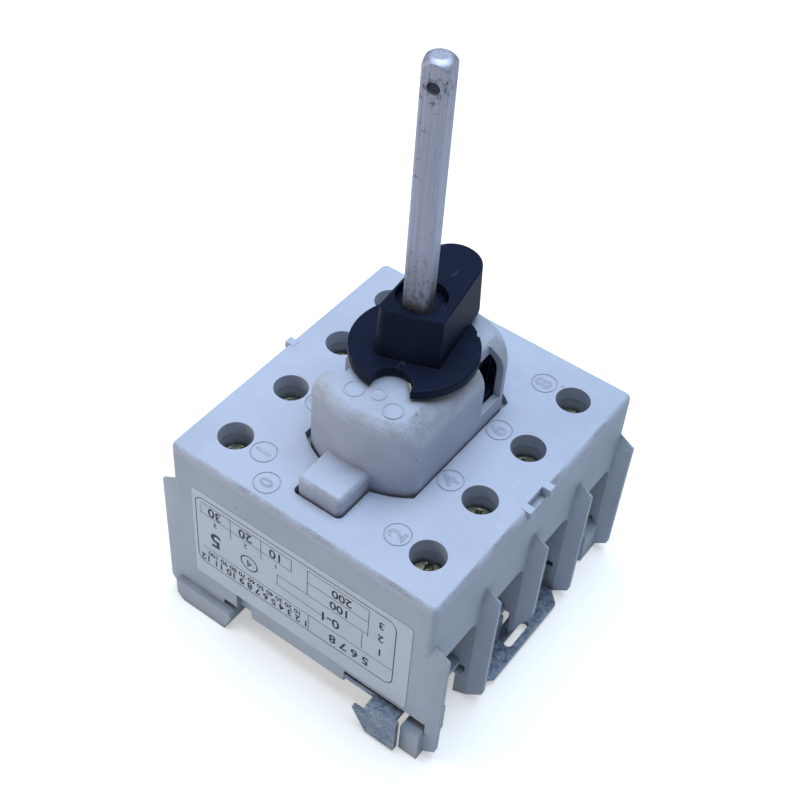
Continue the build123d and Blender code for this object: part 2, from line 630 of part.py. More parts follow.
# Terminal screws: cylinder heads with a slot and a cross.
with BuildPart() as terminal_screws:
    head_z = HEAD_TOP_Z - HEAD_T
    with BuildSketch(Plane.XY.offset(head_z)):
        with Locations(*TERMINALS):
            Circle(HEAD_R)
    extrude(amount=HEAD_T)
    fillet(terminal_screws.edges().group_by(Axis.Z)[-1], 0.5)
    with BuildSketch(Plane.XY.offset(CAGE_TOP_Z - CAGE_TOP_T - 0.5)):
        with Locations(*TERMINALS):
            Circle(SHANK_R)
    extrude(amount=head_z - CAGE_TOP_Z + CAGE_TOP_T + 0.5)
    with BuildSketch(Plane.XY.offset(HEAD_TOP_Z)):
        with Locations(*TERMINALS):
            Rectangle(2 * HEAD_R + 1, 1.0, rotation=SLOT_TURN)
            Rectangle(4.4, 1.3, rotation=SLOT_TURN)
            Rectangle(1.3, 4.4, rotation=SLOT_TURN)
    extrude(amount=-1.5, mode=Mode.SUBTRACT)
write(terminal_screws.part, "terminal_screws")


# Clamp cages: a steel box round the end of each strip, with a thick threaded top.
with BuildPart() as clamp_cages:
    for side in (-1, 1):
        for y in POLE_Y:
            x = (side * (SCREW_X - CAGE_LEN / 2), side * (SCREW_X + CAGE_LEN / 2))
            block(x, (y - CAGE_W / 2, y + CAGE_W / 2), (STRIP_Z - 1.6, CAGE_TOP_Z))
            block((side * (SCREW_X - CAGE_LEN), side * (SCREW_X + CAGE_LEN)),
                  (y - CAGE_W / 2 + CAGE_WALL, y + CAGE_W / 2 - CAGE_WALL),
                  (STRIP_Z, CAGE_TOP_Z - CAGE_TOP_T), mode=Mode.SUBTRACT)
    with BuildSketch(Plane.XY.offset(CAGE_TOP_Z - CAGE_TOP_T)):
        with Locations(*TERMINALS):
            Circle(SHANK_R + 0.05)
    extrude(amount=CAGE_TOP_T, mode=Mode.SUBTRACT)
write(clamp_cages.part, "clamp_cages")


# Fixed contacts: four copper strips on each side, each with a tongue offset along the rail.
for side, name in ((-1, "line_contacts"), (1, "load_contacts")):
    with BuildPart() as strips:
        for y in POLE_Y:
            with BuildSketch(Plane.XY.offset(STRIP_Z)):
                with BuildLine():
                    Polyline((side * 27.3, y - STRIP_W / 2), (side * 27.3, y + STRIP_W / 2),
                             (side * 14.1, y + STRIP_W / 2),
                             (side * 14.1, y + TONGUE_Y + TONGUE_W / 2),
                             (side * TONGUE_END_X, y + TONGUE_Y + TONGUE_W / 2),
                             (side * TONGUE_END_X, y + TONGUE_Y - TONGUE_W / 2),
                             (side * CROSSBAR_X, y + TONGUE_Y - TONGUE_W / 2),
                             (side * CROSSBAR_X, y - STRIP_W / 2), close=True)
                make_face()
            extrude(amount=STRIP_T)
    write(strips.part, name)


# Silver tips on the tongues.
with BuildPart() as fixed_contact_tips:
    with BuildSketch(Plane.XY.offset(STRIP_Z + STRIP_T)):
        with Locations(*[(side * TIP_X, y + TONGUE_Y) for side in (-1, 1) for y in POLE_Y]):
            RectangleRounded(TIP_SIZE, TIP_SIZE, 0.4)
    extrude(amount=TIP_T)
write(fixed_contact_tips.part, "fixed_contact_tips")


# Bearing plate: steel, across the hollow, with an ear bent up at each end of the detent.
with BuildPart() as bearing_plate:
    block((-PLATE_HALF_X, PLATE_HALF_X), (-PLATE_HALF_Y, PLATE_HALF_Y), (PLATE_Z, PLATE_TOP_Z))
    for side in (-1, 1):
        block((-EAR_HALF_X, EAR_HALF_X), (side * EAR_Y, side * (EAR_Y + PLATE_T)),
              (PLATE_Z, FRAME_Z - 0.2))
    with Locations((0, 0, PLATE_Z)):
        Cylinder(SPINDLE_R + 0.05, 2 * PLATE_T + 1, mode=Mode.SUBTRACT)
    with Locations(*[(x, y, PLATE_Z) for x, y in MECH_SCREWS]):
        Cylinder(1.7, 2 * PLATE_T + 1, mode=Mode.SUBTRACT)
write(bearing_plate.part, "bearing_plate")


# Four screws that hold the bearing plate to the housing's bosses.
with BuildPart() as mechanism_screws:
    with BuildSketch(Plane.XY.offset(PLATE_TOP_Z)):
        with Locations(*MECH_SCREWS):
            Circle(2.4)
    extrude(amount=1.6)
    fillet(mechanism_screws.edges().group_by(Axis.Z)[-1], 0.5)
    with BuildSketch(Plane.XY.offset(PLATE_TOP_Z)):
        with Locations(*MECH_SCREWS):
            Circle(1.25)
    extrude(amount=-PLATE_T - 5.5)
    with BuildSketch(Plane.XY.offset(PLATE_TOP_Z + 1.6)):
        with Locations(*MECH_SCREWS):
            Rectangle(3.0, 0.7)
            Rectangle(0.7, 3.0)
    extrude(amount=-1.0, mode=Mode.SUBTRACT)
write(mechanism_screws.part, "mechanism_screws")


# Detent: guide blocks, plungers and springs on both sides of the cam.
with BuildPart() as detent_guides:
    for side in (-1, 1):
        block((-EAR_HALF_X, EAR_HALF_X), (side * GUIDE_IN_Y, side * EAR_Y),
              (PLATE_TOP_Z, FRAME_Z - 0.2))
    with Locations(Location((0, 0, PLUNGER_Z), (90, 0, 0))):
        Cylinder(PLUNGER_R + 0.05, 4 * EAR_Y, mode=Mode.SUBTRACT)
write(detent_guides.part, "detent_guides")

with BuildPart() as detent_plungers:
    for side in (-1, 1):
        with BuildSketch(upright(side * PLUNGER_BACK_Y)):
            with Locations((0, PLUNGER_Z)):
                Circle(PLUNGER_R)
        extrude(amount=side * (PLUNGER_BACK_Y - CAM_R - 0.1))
    noses = detent_plungers.edges().filter_by(GeomType.CIRCLE)
    fillet([e for e in noses if abs(e.center().Y) < 9], 1.6)
write(detent_plungers.part, "detent_plungers")

with BuildPart() as detent_springs:
    spring = coil(1.9, 0.3, EAR_Y - PLUNGER_BACK_Y - 0.1, 3)
    for side in (-1, 1):
        spot = (0, side * (PLUNGER_BACK_Y + 0.05), PLUNGER_Z)
        add(spring.moved(Location(spot, (-side * 90, 0, 0))))
write(detent_springs.part, "detent_springs")


# Mechanism frame: black moulding under the cap that carries the spindle's upper bearing.
with BuildPart() as mechanism_frame:
    frame_inset = COVER_WALL + FRAME_GAP
    add(cap_body(frame_inset, FRAME_Z, FRAME_TOP_Z))
    add(cap_body(frame_inset + FRAME_WALL, FRAME_Z, FRAME_TOP_Z - FRAME_WALL), mode=Mode.SUBTRACT)
    with Locations((0, 0, FRAME_TOP_Z)):
        Cylinder(SPINDLE_R + 0.05, 4 * FRAME_WALL, mode=Mode.SUBTRACT)
    for x in ((COVER_LEFT_X + frame_inset + 0.2, -8.0), (8.0, COVER_RIGHT_X - frame_inset - 0.2)):
        for side in (-1, 1):
            block(x, (side * 9.0, side * 12.5), (PLATE_TOP_Z, FRAME_Z + 1))
    # The frame is cut back where the cap's notch and channel let in the lever of an accessory
    block((COVER_LEFT_X, NOTCH_IN_X - 0.5), (NOTCH_FRONT_Y, NOTCH_REAR_Y), (FRAME_Z + 2, COVER_TOP_Z),
          mode=Mode.SUBTRACT)
    block((COVER_LEFT_X, NOTCH_IN_X - 1.5), (NOTCH_REAR_Y - 0.1, COVER_R), (CHANNEL_Z - 1, COVER_TOP_Z),
          mode=Mode.SUBTRACT)
    # It is open behind the cap's window
    block((WINDOW_IN_X - 0.5, COVER_RIGHT_X), (WINDOW_FRONT_Y - 1.5, WINDOW_REAR_Y + 1.0),
          (FRAME_Z + 2, COVER_TOP_Z), mode=Mode.SUBTRACT)
write(mechanism_frame.part, "mechanism_frame")


# Drive spindle with its crank disc, drawn in the turned rest position.
with BuildPart() as drive_spindle:
    with BuildSketch(Plane.XY.offset(CRANK_Z)):
        Circle(CRANK_DISC_R)
    extrude(amount=CRANK_T)
    with BuildSketch(Plane.XY.offset(CRANK_Z)):
        Circle(SPINDLE_R)
    extrude(amount=CAM_Z - CRANK_Z)
    with BuildSketch(Plane.XY.offset(CAM_Z)):
        Circle(SPINDLE_R)
        Rectangle(2 * SPINDLE_FLAT, 4 * SPINDLE_R, rotation=REST_TURN, mode=Mode.INTERSECT)
    extrude(amount=SPINDLE_SHOULDER_Z - CAM_Z)
    with BuildSketch(Plane.XY.offset(SPINDLE_SHOULDER_Z)):
        Circle(NECK_R)
        Rectangle(2 * NECK_FLAT, 4 * NECK_R, rotation=REST_TURN, mode=Mode.INTERSECT)
    extrude(amount=NECK_TOP_Z - SPINDLE_SHOULDER_Z)
    with BuildSketch(Plane.XY.offset(SOCKET_Z)):
        Rectangle(SOCKET, SOCKET, rotation=REST_TURN)
    extrude(amount=NECK_TOP_Z - SOCKET_Z, mode=Mode.SUBTRACT)
    with BuildSketch(Plane.XY.offset(CAM_Z + CAM_T)):
        Circle(SPINDLE_R + 1)
        Circle(SPINDLE_R - 1, mode=Mode.SUBTRACT)
    extrude(amount=CIRCLIP_T + 0.1, mode=Mode.SUBTRACT)
    with Locations((PIN_X, PIN_Y, CRANK_Z + 1.25)):
        Cylinder(PIN_R, 2.5, mode=Mode.SUBTRACT)
write(drive_spindle.part, "drive_spindle")

with BuildPart() as crank_pin:
    with BuildSketch(Plane.XY.offset(FLANGE_Z + 0.5)):
        with Locations((PIN_X, PIN_Y)):
            Circle(PIN_R)
    extrude(amount=CRANK_Z + 2.5 - FLANGE_Z - 0.5)
    chamfer(crank_pin.edges().group_by(Axis.Z)[0], 0.3)
write(crank_pin.part, "crank_pin")


# Detent cam on the spindle's flats, with four notches, and the circlip above it.
with BuildPart() as detent_cam:
    with BuildSketch(Plane.XY.offset(CAM_Z)):
        Circle(CAM_R)
        with PolarLocations(CAM_R + 0.9, 4, start_angle=REST_TURN):
            Circle(1.9, mode=Mode.SUBTRACT)
        with BuildSketch(mode=Mode.PRIVATE) as bore:
            Circle(SPINDLE_R + 0.05)
            Rectangle(2 * SPINDLE_FLAT + 0.1, 4 * SPINDLE_R, rotation=REST_TURN, mode=Mode.INTERSECT)
        add(bore.sketch, mode=Mode.SUBTRACT)
    extrude(amount=CAM_T)
write(detent_cam.part, "detent_cam")

with BuildPart() as spindle_circlip:
    with BuildSketch(Plane.XY.offset(CAM_Z + CAM_T + 0.05)):
        Circle(SPINDLE_R + 1.4)
        Circle(SPINDLE_R - 0.95, mode=Mode.SUBTRACT)
        with Locations((0, -SPINDLE_R)):
            Rectangle(5.0, SPINDLE_R, mode=Mode.SUBTRACT)
    extrude(amount=CIRCLIP_T)
write(spindle_circlip.part, "spindle_circlip")


# Shaft coupling: a notched flange under a block with one round end.
with BuildPart() as shaft_coupling:
    with BuildSketch(Plane.XY.offset(FLANGE_BASE_Z)):
        Circle(FLANGE_R)
    extrude(amount=FLANGE_T)
    fillet(shaft_coupling.edges().group_by(Axis.Z)[-1], 0.4)
    loft([block_outline(FLANGE_BASE_Z + FLANGE_T, 0.9, 0.45),
          block_outline(BLOCK_TOP_Z - BLOCK_EDGE, 0.0, 0.0),
          block_outline(BLOCK_TOP_Z, -BLOCK_EDGE, -BLOCK_EDGE)], ruled=True)
    # U notch at the front of the flange and a small nick at its right rear
    with BuildSketch(Plane.XY.offset(FLANGE_BASE_Z).rotated((0, 0, NOTCH_TURN))):
        with Locations((NOTCH_CENTRE_R + FLANGE_R / 2, 0)):
            Rectangle(FLANGE_R, 2 * NOTCH_R)
        with Locations((NOTCH_CENTRE_R, 0)):
            Circle(NOTCH_R)
    extrude(amount=FLANGE_T, mode=Mode.SUBTRACT)
    with BuildSketch(Plane.XY.offset(FLANGE_BASE_Z).rotated((0, 0, NICK_TURN))):
        with Locations((FLANGE_R, 0)):
            Rectangle(1.0, 1.6)
    extrude(amount=FLANGE_T, mode=Mode.SUBTRACT)
    # Neck socket from below, square hole above it, counterbore at the top
    with BuildSketch(Plane.XY.offset(FLANGE_BASE_Z)):
        Circle(NECK_R + 0.05)
        Rectangle(2 * NECK_FLAT + 0.1, 4 * NECK_R, rotation=REST_TURN, mode=Mode.INTERSECT)
    extrude(amount=NECK_TOP_Z + 0.2 - FLANGE_BASE_Z, mode=Mode.SUBTRACT)
    with BuildSketch(Plane.XY.offset(FLANGE_BASE_Z)):
        Rectangle(SOCKET, SOCKET, rotation=REST_TURN)
    extrude(amount=BLOCK_TOP_Z - FLANGE_BASE_Z, mode=Mode.SUBTRACT)
    with BuildSketch(Plane.XY.offset(BLOCK_TOP_Z)):
        with Locations((COUNTERBORE_X, COUNTERBORE_Y)):
            Circle(COUNTERBORE_R)
    extrude(amount=-COUNTERBORE_DEPTH, mode=Mode.SUBTRACT)
    # Tapped hole for the grub screw, from the -X side
    grub_axis = Location((0, 0, GRUB_Z), (0, -90, 0))
    with Locations(Location((0, 0, 0), (0, 0, REST_TURN)) * grub_axis):
        with Locations((0, 0, 6.5)):
            Cylinder(1.5, 11.0, mode=Mode.SUBTRACT)
write(shaft_coupling.part, "shaft_coupling")

with BuildPart() as coupling_grub_screw:
    with Locations((0, 0, SHAFT / 2 + 1.9)):
        Cylinder(1.45, 3.6)
    chamfer(coupling_grub_screw.edges().group_by(Axis.Z)[0], 0.4)
    with BuildSketch(Plane.XY.offset(SHAFT / 2 + 3.7)):
        RegularPolygon(0.75, 6, major_radius=False)
    extrude(amount=-1.4, mode=Mode.SUBTRACT)
grub = coupling_grub_screw.part.moved(Location((0, 0, 0), (0, 0, REST_TURN)) * grub_axis)
write(grub, "coupling_grub_screw")


# Extension shaft: 5 mm square bar, bevelled at its tip and cross-drilled near it.
with BuildPart() as extension_shaft:
    with BuildSketch(Plane.XY.offset(SHAFT_FOOT_Z)):
        Rectangle(SHAFT, SHAFT, rotation=REST_TURN)
        chamfer(vertices(), SHAFT_ARRIS)
    extrude(amount=SHAFT_TOP_Z - SHAFT_FOOT_Z)
    # The tip is turned to a dome with a flat in its middle
    with BuildPart(mode=Mode.PRIVATE) as turned:
        with BuildSketch(Plane.XZ):
            with BuildLine():
                Polyline((0, SHAFT_TOP_Z), (0, SHAFT_FOOT_Z), (SHAFT, SHAFT_FOOT_Z),
                         (SHAFT, SHAFT_TOP_Z - TIP_SHOULDER_T),
                         (TIP_SHOULDER_R, SHAFT_TOP_Z - TIP_SHOULDER_T))
                ThreePointArc((TIP_SHOULDER_R, SHAFT_TOP_Z - TIP_SHOULDER_T),
                              (TIP_BEND_R, SHAFT_TOP_Z - TIP_BEND_T), (TIP_FLAT_R, SHAFT_TOP_Z))
                Line((TIP_FLAT_R, SHAFT_TOP_Z), (0, SHAFT_TOP_Z))
            make_face()
        revolve(axis=Axis.Z)
    add(turned.part, mode=Mode.INTERSECT)
    with Locations(Location((0, 0, CROSS_HOLE_Z), (0, 0, REST_TURN)) * Location((0, 0, 0), (90, 0, 0))):
        Cylinder(CROSS_HOLE_R, 2 * SHAFT, mode=Mode.SUBTRACT)
write(extension_shaft.part, "extension_shaft")


# Contact carriage: a T beam along the rail, pushed by the crank pin in its cross slot.
with BuildPart() as contact_carriage:
    span = (PIN_Y - CARRIAGE_HALF, PIN_Y + CARRIAGE_HALF)
    block((-WEB_HALF_X, WEB_HALF_X), span, (WEB_Z, FLANGE_Z))
    block((-FLANGE_HALF_X, FLANGE_HALF_X), span, (FLANGE_Z, FLANGE_TOP_Z))
    block((2.6, 8.0), (PIN_Y - PIN_R - 0.3, PIN_Y + PIN_R + 0.3), (FLANGE_Z + 0.2, FLANGE_TOP_Z),
          mode=Mode.SUBTRACT)
    for y in BRIDGE_Y:
        block((-WEB_HALF_X, WEB_HALF_X), (y - BRIDGE_W / 2 - 0.15, y + BRIDGE_W / 2 + 0.15),
              (BRIDGE_Z - 0.6, BRIDGE_WINDOW_TOP_Z), mode=Mode.SUBTRACT)
write(contact_carriage.part, "contact_carriage")

with BuildPart() as contact_bridges:
    for y in BRIDGE_Y:
        block((-BRIDGE_HALF_X, BRIDGE_HALF_X), (y - BRIDGE_W / 2, y + BRIDGE_W / 2),
              (BRIDGE_Z, BRIDGE_Z + BRIDGE_T))
    fillet(contact_bridges.edges().filter_by(Axis.Z), 0.6)
write(contact_bridges.part, "contact_bridges")

with BuildPart() as bridge_tips:
    with BuildSketch(Plane.XY.offset(BRIDGE_Z)):
        with Locations(*[(side * TIP_X, y) for side in (-1, 1) for y in BRIDGE_Y]):
            RectangleRounded(TIP_SIZE, TIP_SIZE, 0.4)
    extrude(amount=-TIP_T)
write(bridge_tips.part, "bridge_tips")

with BuildPart() as bridge_springs:
    spring_z = BRIDGE_Z + BRIDGE_T
    spring = coil(1.5, 0.25, BRIDGE_WINDOW_TOP_Z - spring_z, 4)
    for y in BRIDGE_Y:
        add(spring.moved(Location((0, y, spring_z))))
write(bridge_springs.part, "bridge_springs")


# Rail clip: a zinc-plated steel plate that slides along X in the housing's underside.
with BuildPart() as rail_clip:
    under = CLIP_TOP_Z - CLIP_T
    block((CLIP_IN_X, CLIP_OUT_X), (-BODY_HALF_Y, BODY_HALF_Y), (under, CLIP_TOP_Z))
    block((CLIP_OUT_X - 1, CLIP_BEND_X), (-CLIP_TAB_HALF_Y, CLIP_TAB_HALF_Y), (under, CLIP_TOP_Z))
    block((CLIP_BEND_X - CLIP_T, CLIP_BEND_X), (-CLIP_TAB_HALF_Y, CLIP_TAB_HALF_Y),
          (CLIP_TAB_Z - CLIP_T, CLIP_TOP_Z))
    fillet(rail_clip.edges().filter_by(Axis.Y).group_by(Axis.Z)[-1].sort_by(Axis.X)[-1], 0.9)
    block((CLIP_NOTCH_X, CLIP_BEND_X + 1), (-CLIP_NOTCH_HALF_Y, CLIP_NOTCH_HALF_Y), (CLIP_TAB_Z, 3),
          mode=Mode.SUBTRACT)
    # The tab that a screwdriver pulls on
    with BuildSketch(Plane.XY.offset(CLIP_TAB_Z)):
        with Locations(((CLIP_BEND_X - CLIP_T + CLIP_TAB_X) / 2, 0)):
            Rectangle(CLIP_TAB_X - CLIP_BEND_X + CLIP_T, 2 * CLIP_TAB_HALF_Y)
        chamfer(vertices().group_by(Axis.X)[-1], 2.4)
        with Locations((32.4, 0)):
            SlotOverall(8.0, 2.0, rotation=90, mode=Mode.SUBTRACT)
    extrude(amount=-CLIP_T)
    # Lugs at both ends, bent down outside the housing, each with a tooth that grips the rail
    for side in (-1, 1):
        out_y = side * CLIP_LUG_Y
        block((CLIP_LUG_IN_X, CLIP_OUT_X), (side * (BODY_HALF_Y - 1), out_y), (under, CLIP_TOP_Z))
        with BuildSketch(upright(out_y)):
            with BuildLine():
                Polyline((CLIP_LUG_IN_X, CLIP_TOP_Z), (CLIP_LUG_OUT_X, CLIP_TOP_Z),
                         (CLIP_LUG_OUT_X, CLIP_FOOT_Z), (CLIP_LUG_IN_X + 0.3, CLIP_FOOT_Z),
                         (CLIP_TOOTH_X, CLIP_TOOTH_Z), (CLIP_LUG_IN_X, CLIP_TOOTH_Z + 0.2), close=True)
            make_face()
            fillet(vertices().sort_by(Axis.Y)[:2], 0.5)
        extrude(amount=side * CLIP_T)
write(rail_clip.part, "rail_clip")


# The clip's return spring, in the notch of the plate, against the housing's post.
with BuildPart() as clip_spring:
    spring = coil(0.9, 0.2, CLIP_SPRING_LEN, 6)
    add(spring.moved(Location((SPRING_POST_IN_X - CLIP_SPRING_LEN - 0.05, 0, 1.4), (0, 90, 0))))
write(clip_spring.part, "clip_spring")
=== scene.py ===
"""Looks of the rotary switch: finishes, worn edges, painted edge highlights and corner shade, the
label, moulded marks and the studio.

Everything is in metres in the part's own frame: +Z runs along the shaft, the label faces -Y.
"""
import json
import logging
import math
from collections.abc import Sequence
from dataclasses import dataclass
from enum import Enum

import bmesh
import bpy
from mathutils import Matrix, Vector


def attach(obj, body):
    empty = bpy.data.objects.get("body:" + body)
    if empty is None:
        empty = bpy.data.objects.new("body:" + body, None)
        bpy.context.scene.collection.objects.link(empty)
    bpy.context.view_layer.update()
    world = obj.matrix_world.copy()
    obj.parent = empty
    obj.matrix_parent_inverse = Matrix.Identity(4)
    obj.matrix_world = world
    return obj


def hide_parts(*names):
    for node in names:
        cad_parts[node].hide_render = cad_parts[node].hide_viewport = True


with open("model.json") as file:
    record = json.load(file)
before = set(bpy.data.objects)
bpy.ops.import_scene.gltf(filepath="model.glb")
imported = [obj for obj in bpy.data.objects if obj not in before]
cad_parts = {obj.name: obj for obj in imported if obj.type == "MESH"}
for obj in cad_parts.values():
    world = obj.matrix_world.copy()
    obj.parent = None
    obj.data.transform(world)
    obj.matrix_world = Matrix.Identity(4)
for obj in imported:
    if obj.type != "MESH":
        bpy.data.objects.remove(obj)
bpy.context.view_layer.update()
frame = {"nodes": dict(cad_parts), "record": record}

LOG = logging.getLogger("rotary_switch")
MM = 0.001
POLE_PITCH = 17.0 * MM
POLES = 4
IMAGE_SIDE = 800

Number = float | bpy.types.NodeSocket
Shade = tuple[float, float, float] | bpy.types.NodeSocket


def linear(red: float, green: float, blue: float) -> tuple[float, float, float]:
    """Turns a display colour of 0 to 255 into the linear values that a shader takes.

    Args:
        red: Red of the display colour.
        green: Green of the display colour.
        blue: Blue of the display colour.

    Returns:
        The three linear values.
    """
    def one(value: float) -> float:
        """Gives one channel's linear value."""
        v = value / 255.0
        return v / 12.92 if v <= 0.04045 else ((v + 0.055) / 1.055) ** 2.4

    return one(red), one(green), one(blue)


class Graph:
    """A node tree being built, with short ways to add nodes and join them."""

    factor_input: int = 0
    first_colour_input: int = 6
    second_colour_input: int = 7
    colour_output: int = 2

    def __init__(self, tree: bpy.types.NodeTree) -> None:
        """Keeps the tree that the nodes go into."""
        self.tree = tree

    def put(self, socket: bpy.types.NodeSocket, value: object) -> None:
        """Joins a socket to another one, or sets its value.

        Args:
            socket: The input that is filled.
            value: An output socket, a number, or a colour or vector of three numbers.
        """
        if isinstance(value, bpy.types.NodeSocket):
            self.tree.links.new(value, socket)
        elif socket.type == "RGBA" and len(value) == 3:
            socket.default_value = (*value, 1.0)
        else:
            socket.default_value = value

    def node(self, kind: str, settings: dict[str, object] | None = None,
             **inputs: object) -> bpy.types.Node:
        """Adds a node.

        Args:
            kind: Blender's name of the node type.
            settings: Properties of the node itself.
            **inputs: Inputs by name, with underscores for spaces.

        Returns:
            The new node.
        """
        new = self.tree.nodes.new(kind)
        for name, value in (settings or {}).items():
            setattr(new, name, value)
        for name, value in inputs.items():
            self.put(new.inputs[name.replace("_", " ")], value)
        return new

    def math(self, operation: str, first: Number, second: Number = 0.0) -> bpy.types.NodeSocket:
        """Gives the result of a Math node.

        Args:
            operation: Blender's name of the operation.
            first: The first value.
            second: The second value, where the operation takes one.

        Returns:
            The result's socket.
        """
        new = self.node("ShaderNodeMath", {"operation": operation})
        self.put(new.inputs[0], first)
        self.put(new.inputs[1], second)
        return new.outputs[0]

    def spread(self, value: Number, low: float, high: float, to_low: float = 0.0,
               to_high: float = 1.0) -> bpy.types.NodeSocket:
        """Maps one range to another with soft ends, and keeps the result inside.

        Args:
            value: The value that is mapped.
            low: The start of its range.
            high: The end of its range.
            to_low: What the start becomes.
            to_high: What the end becomes.

        Returns:
            The mapped value's socket.
        """
        new = self.node("ShaderNodeMapRange", {"interpolation_type": "SMOOTHSTEP"}, Value=value)
        for name, number in (("From Min", low), ("From Max", high), ("To Min", to_low),
                             ("To Max", to_high)):
            new.inputs[name].default_value = number
        return new.outputs["Result"]

    def mix(self, share: Number, first: Shade, second: Shade) -> bpy.types.NodeSocket:
        """Mixes two colours.

        Args:
            share: How much of the second colour there is, from 0 to 1.
            first: The first colour.
            second: The second colour.

        Returns:
            The mixed colour's socket.
        """
        new = self.node("ShaderNodeMix", {"data_type": "RGBA"})
        self.put(new.inputs[self.factor_input], share)
        self.put(new.inputs[self.first_colour_input], first)
        self.put(new.inputs[self.second_colour_input], second)
        return new.outputs[self.colour_output]

    def noise(self, vector: bpy.types.NodeSocket, scale: Number, detail: float = 4.0,
              roughness: float = 0.55) -> bpy.types.NodeSocket:
        """Gives the value of a noise texture.

        Args:
            vector: Where the texture is read.
            scale: How fine it is, in waves for each metre.
            detail: How many finer layers it has.
            roughness: How strong the finer layers are.

        Returns:
            The value's socket.
        """
        new = self.node("ShaderNodeTexNoise", Vector=vector, Scale=scale, Detail=detail,
                        Roughness=roughness)
        return new.outputs[0]

    def place(self, stretch: tuple[float, float, float] = (1.0, 1.0, 1.0),
              turn: tuple[float, float, float] = (0.0, 0.0, 0.0)) -> bpy.types.NodeSocket:
        """Gives Object coordinates, stretched and turned.

        Args:
            stretch: The scale along each axis.
            turn: The turn about each axis, in radians.

        Returns:
            The coordinates' socket.
        """
        coordinates = self.node("ShaderNodeTexCoord").outputs["Object"]
        mapping = self.node("ShaderNodeMapping", Vector=coordinates)
        mapping.inputs["Scale"].default_value = stretch
        mapping.inputs["Rotation"].default_value = turn
        return mapping.outputs["Vector"]


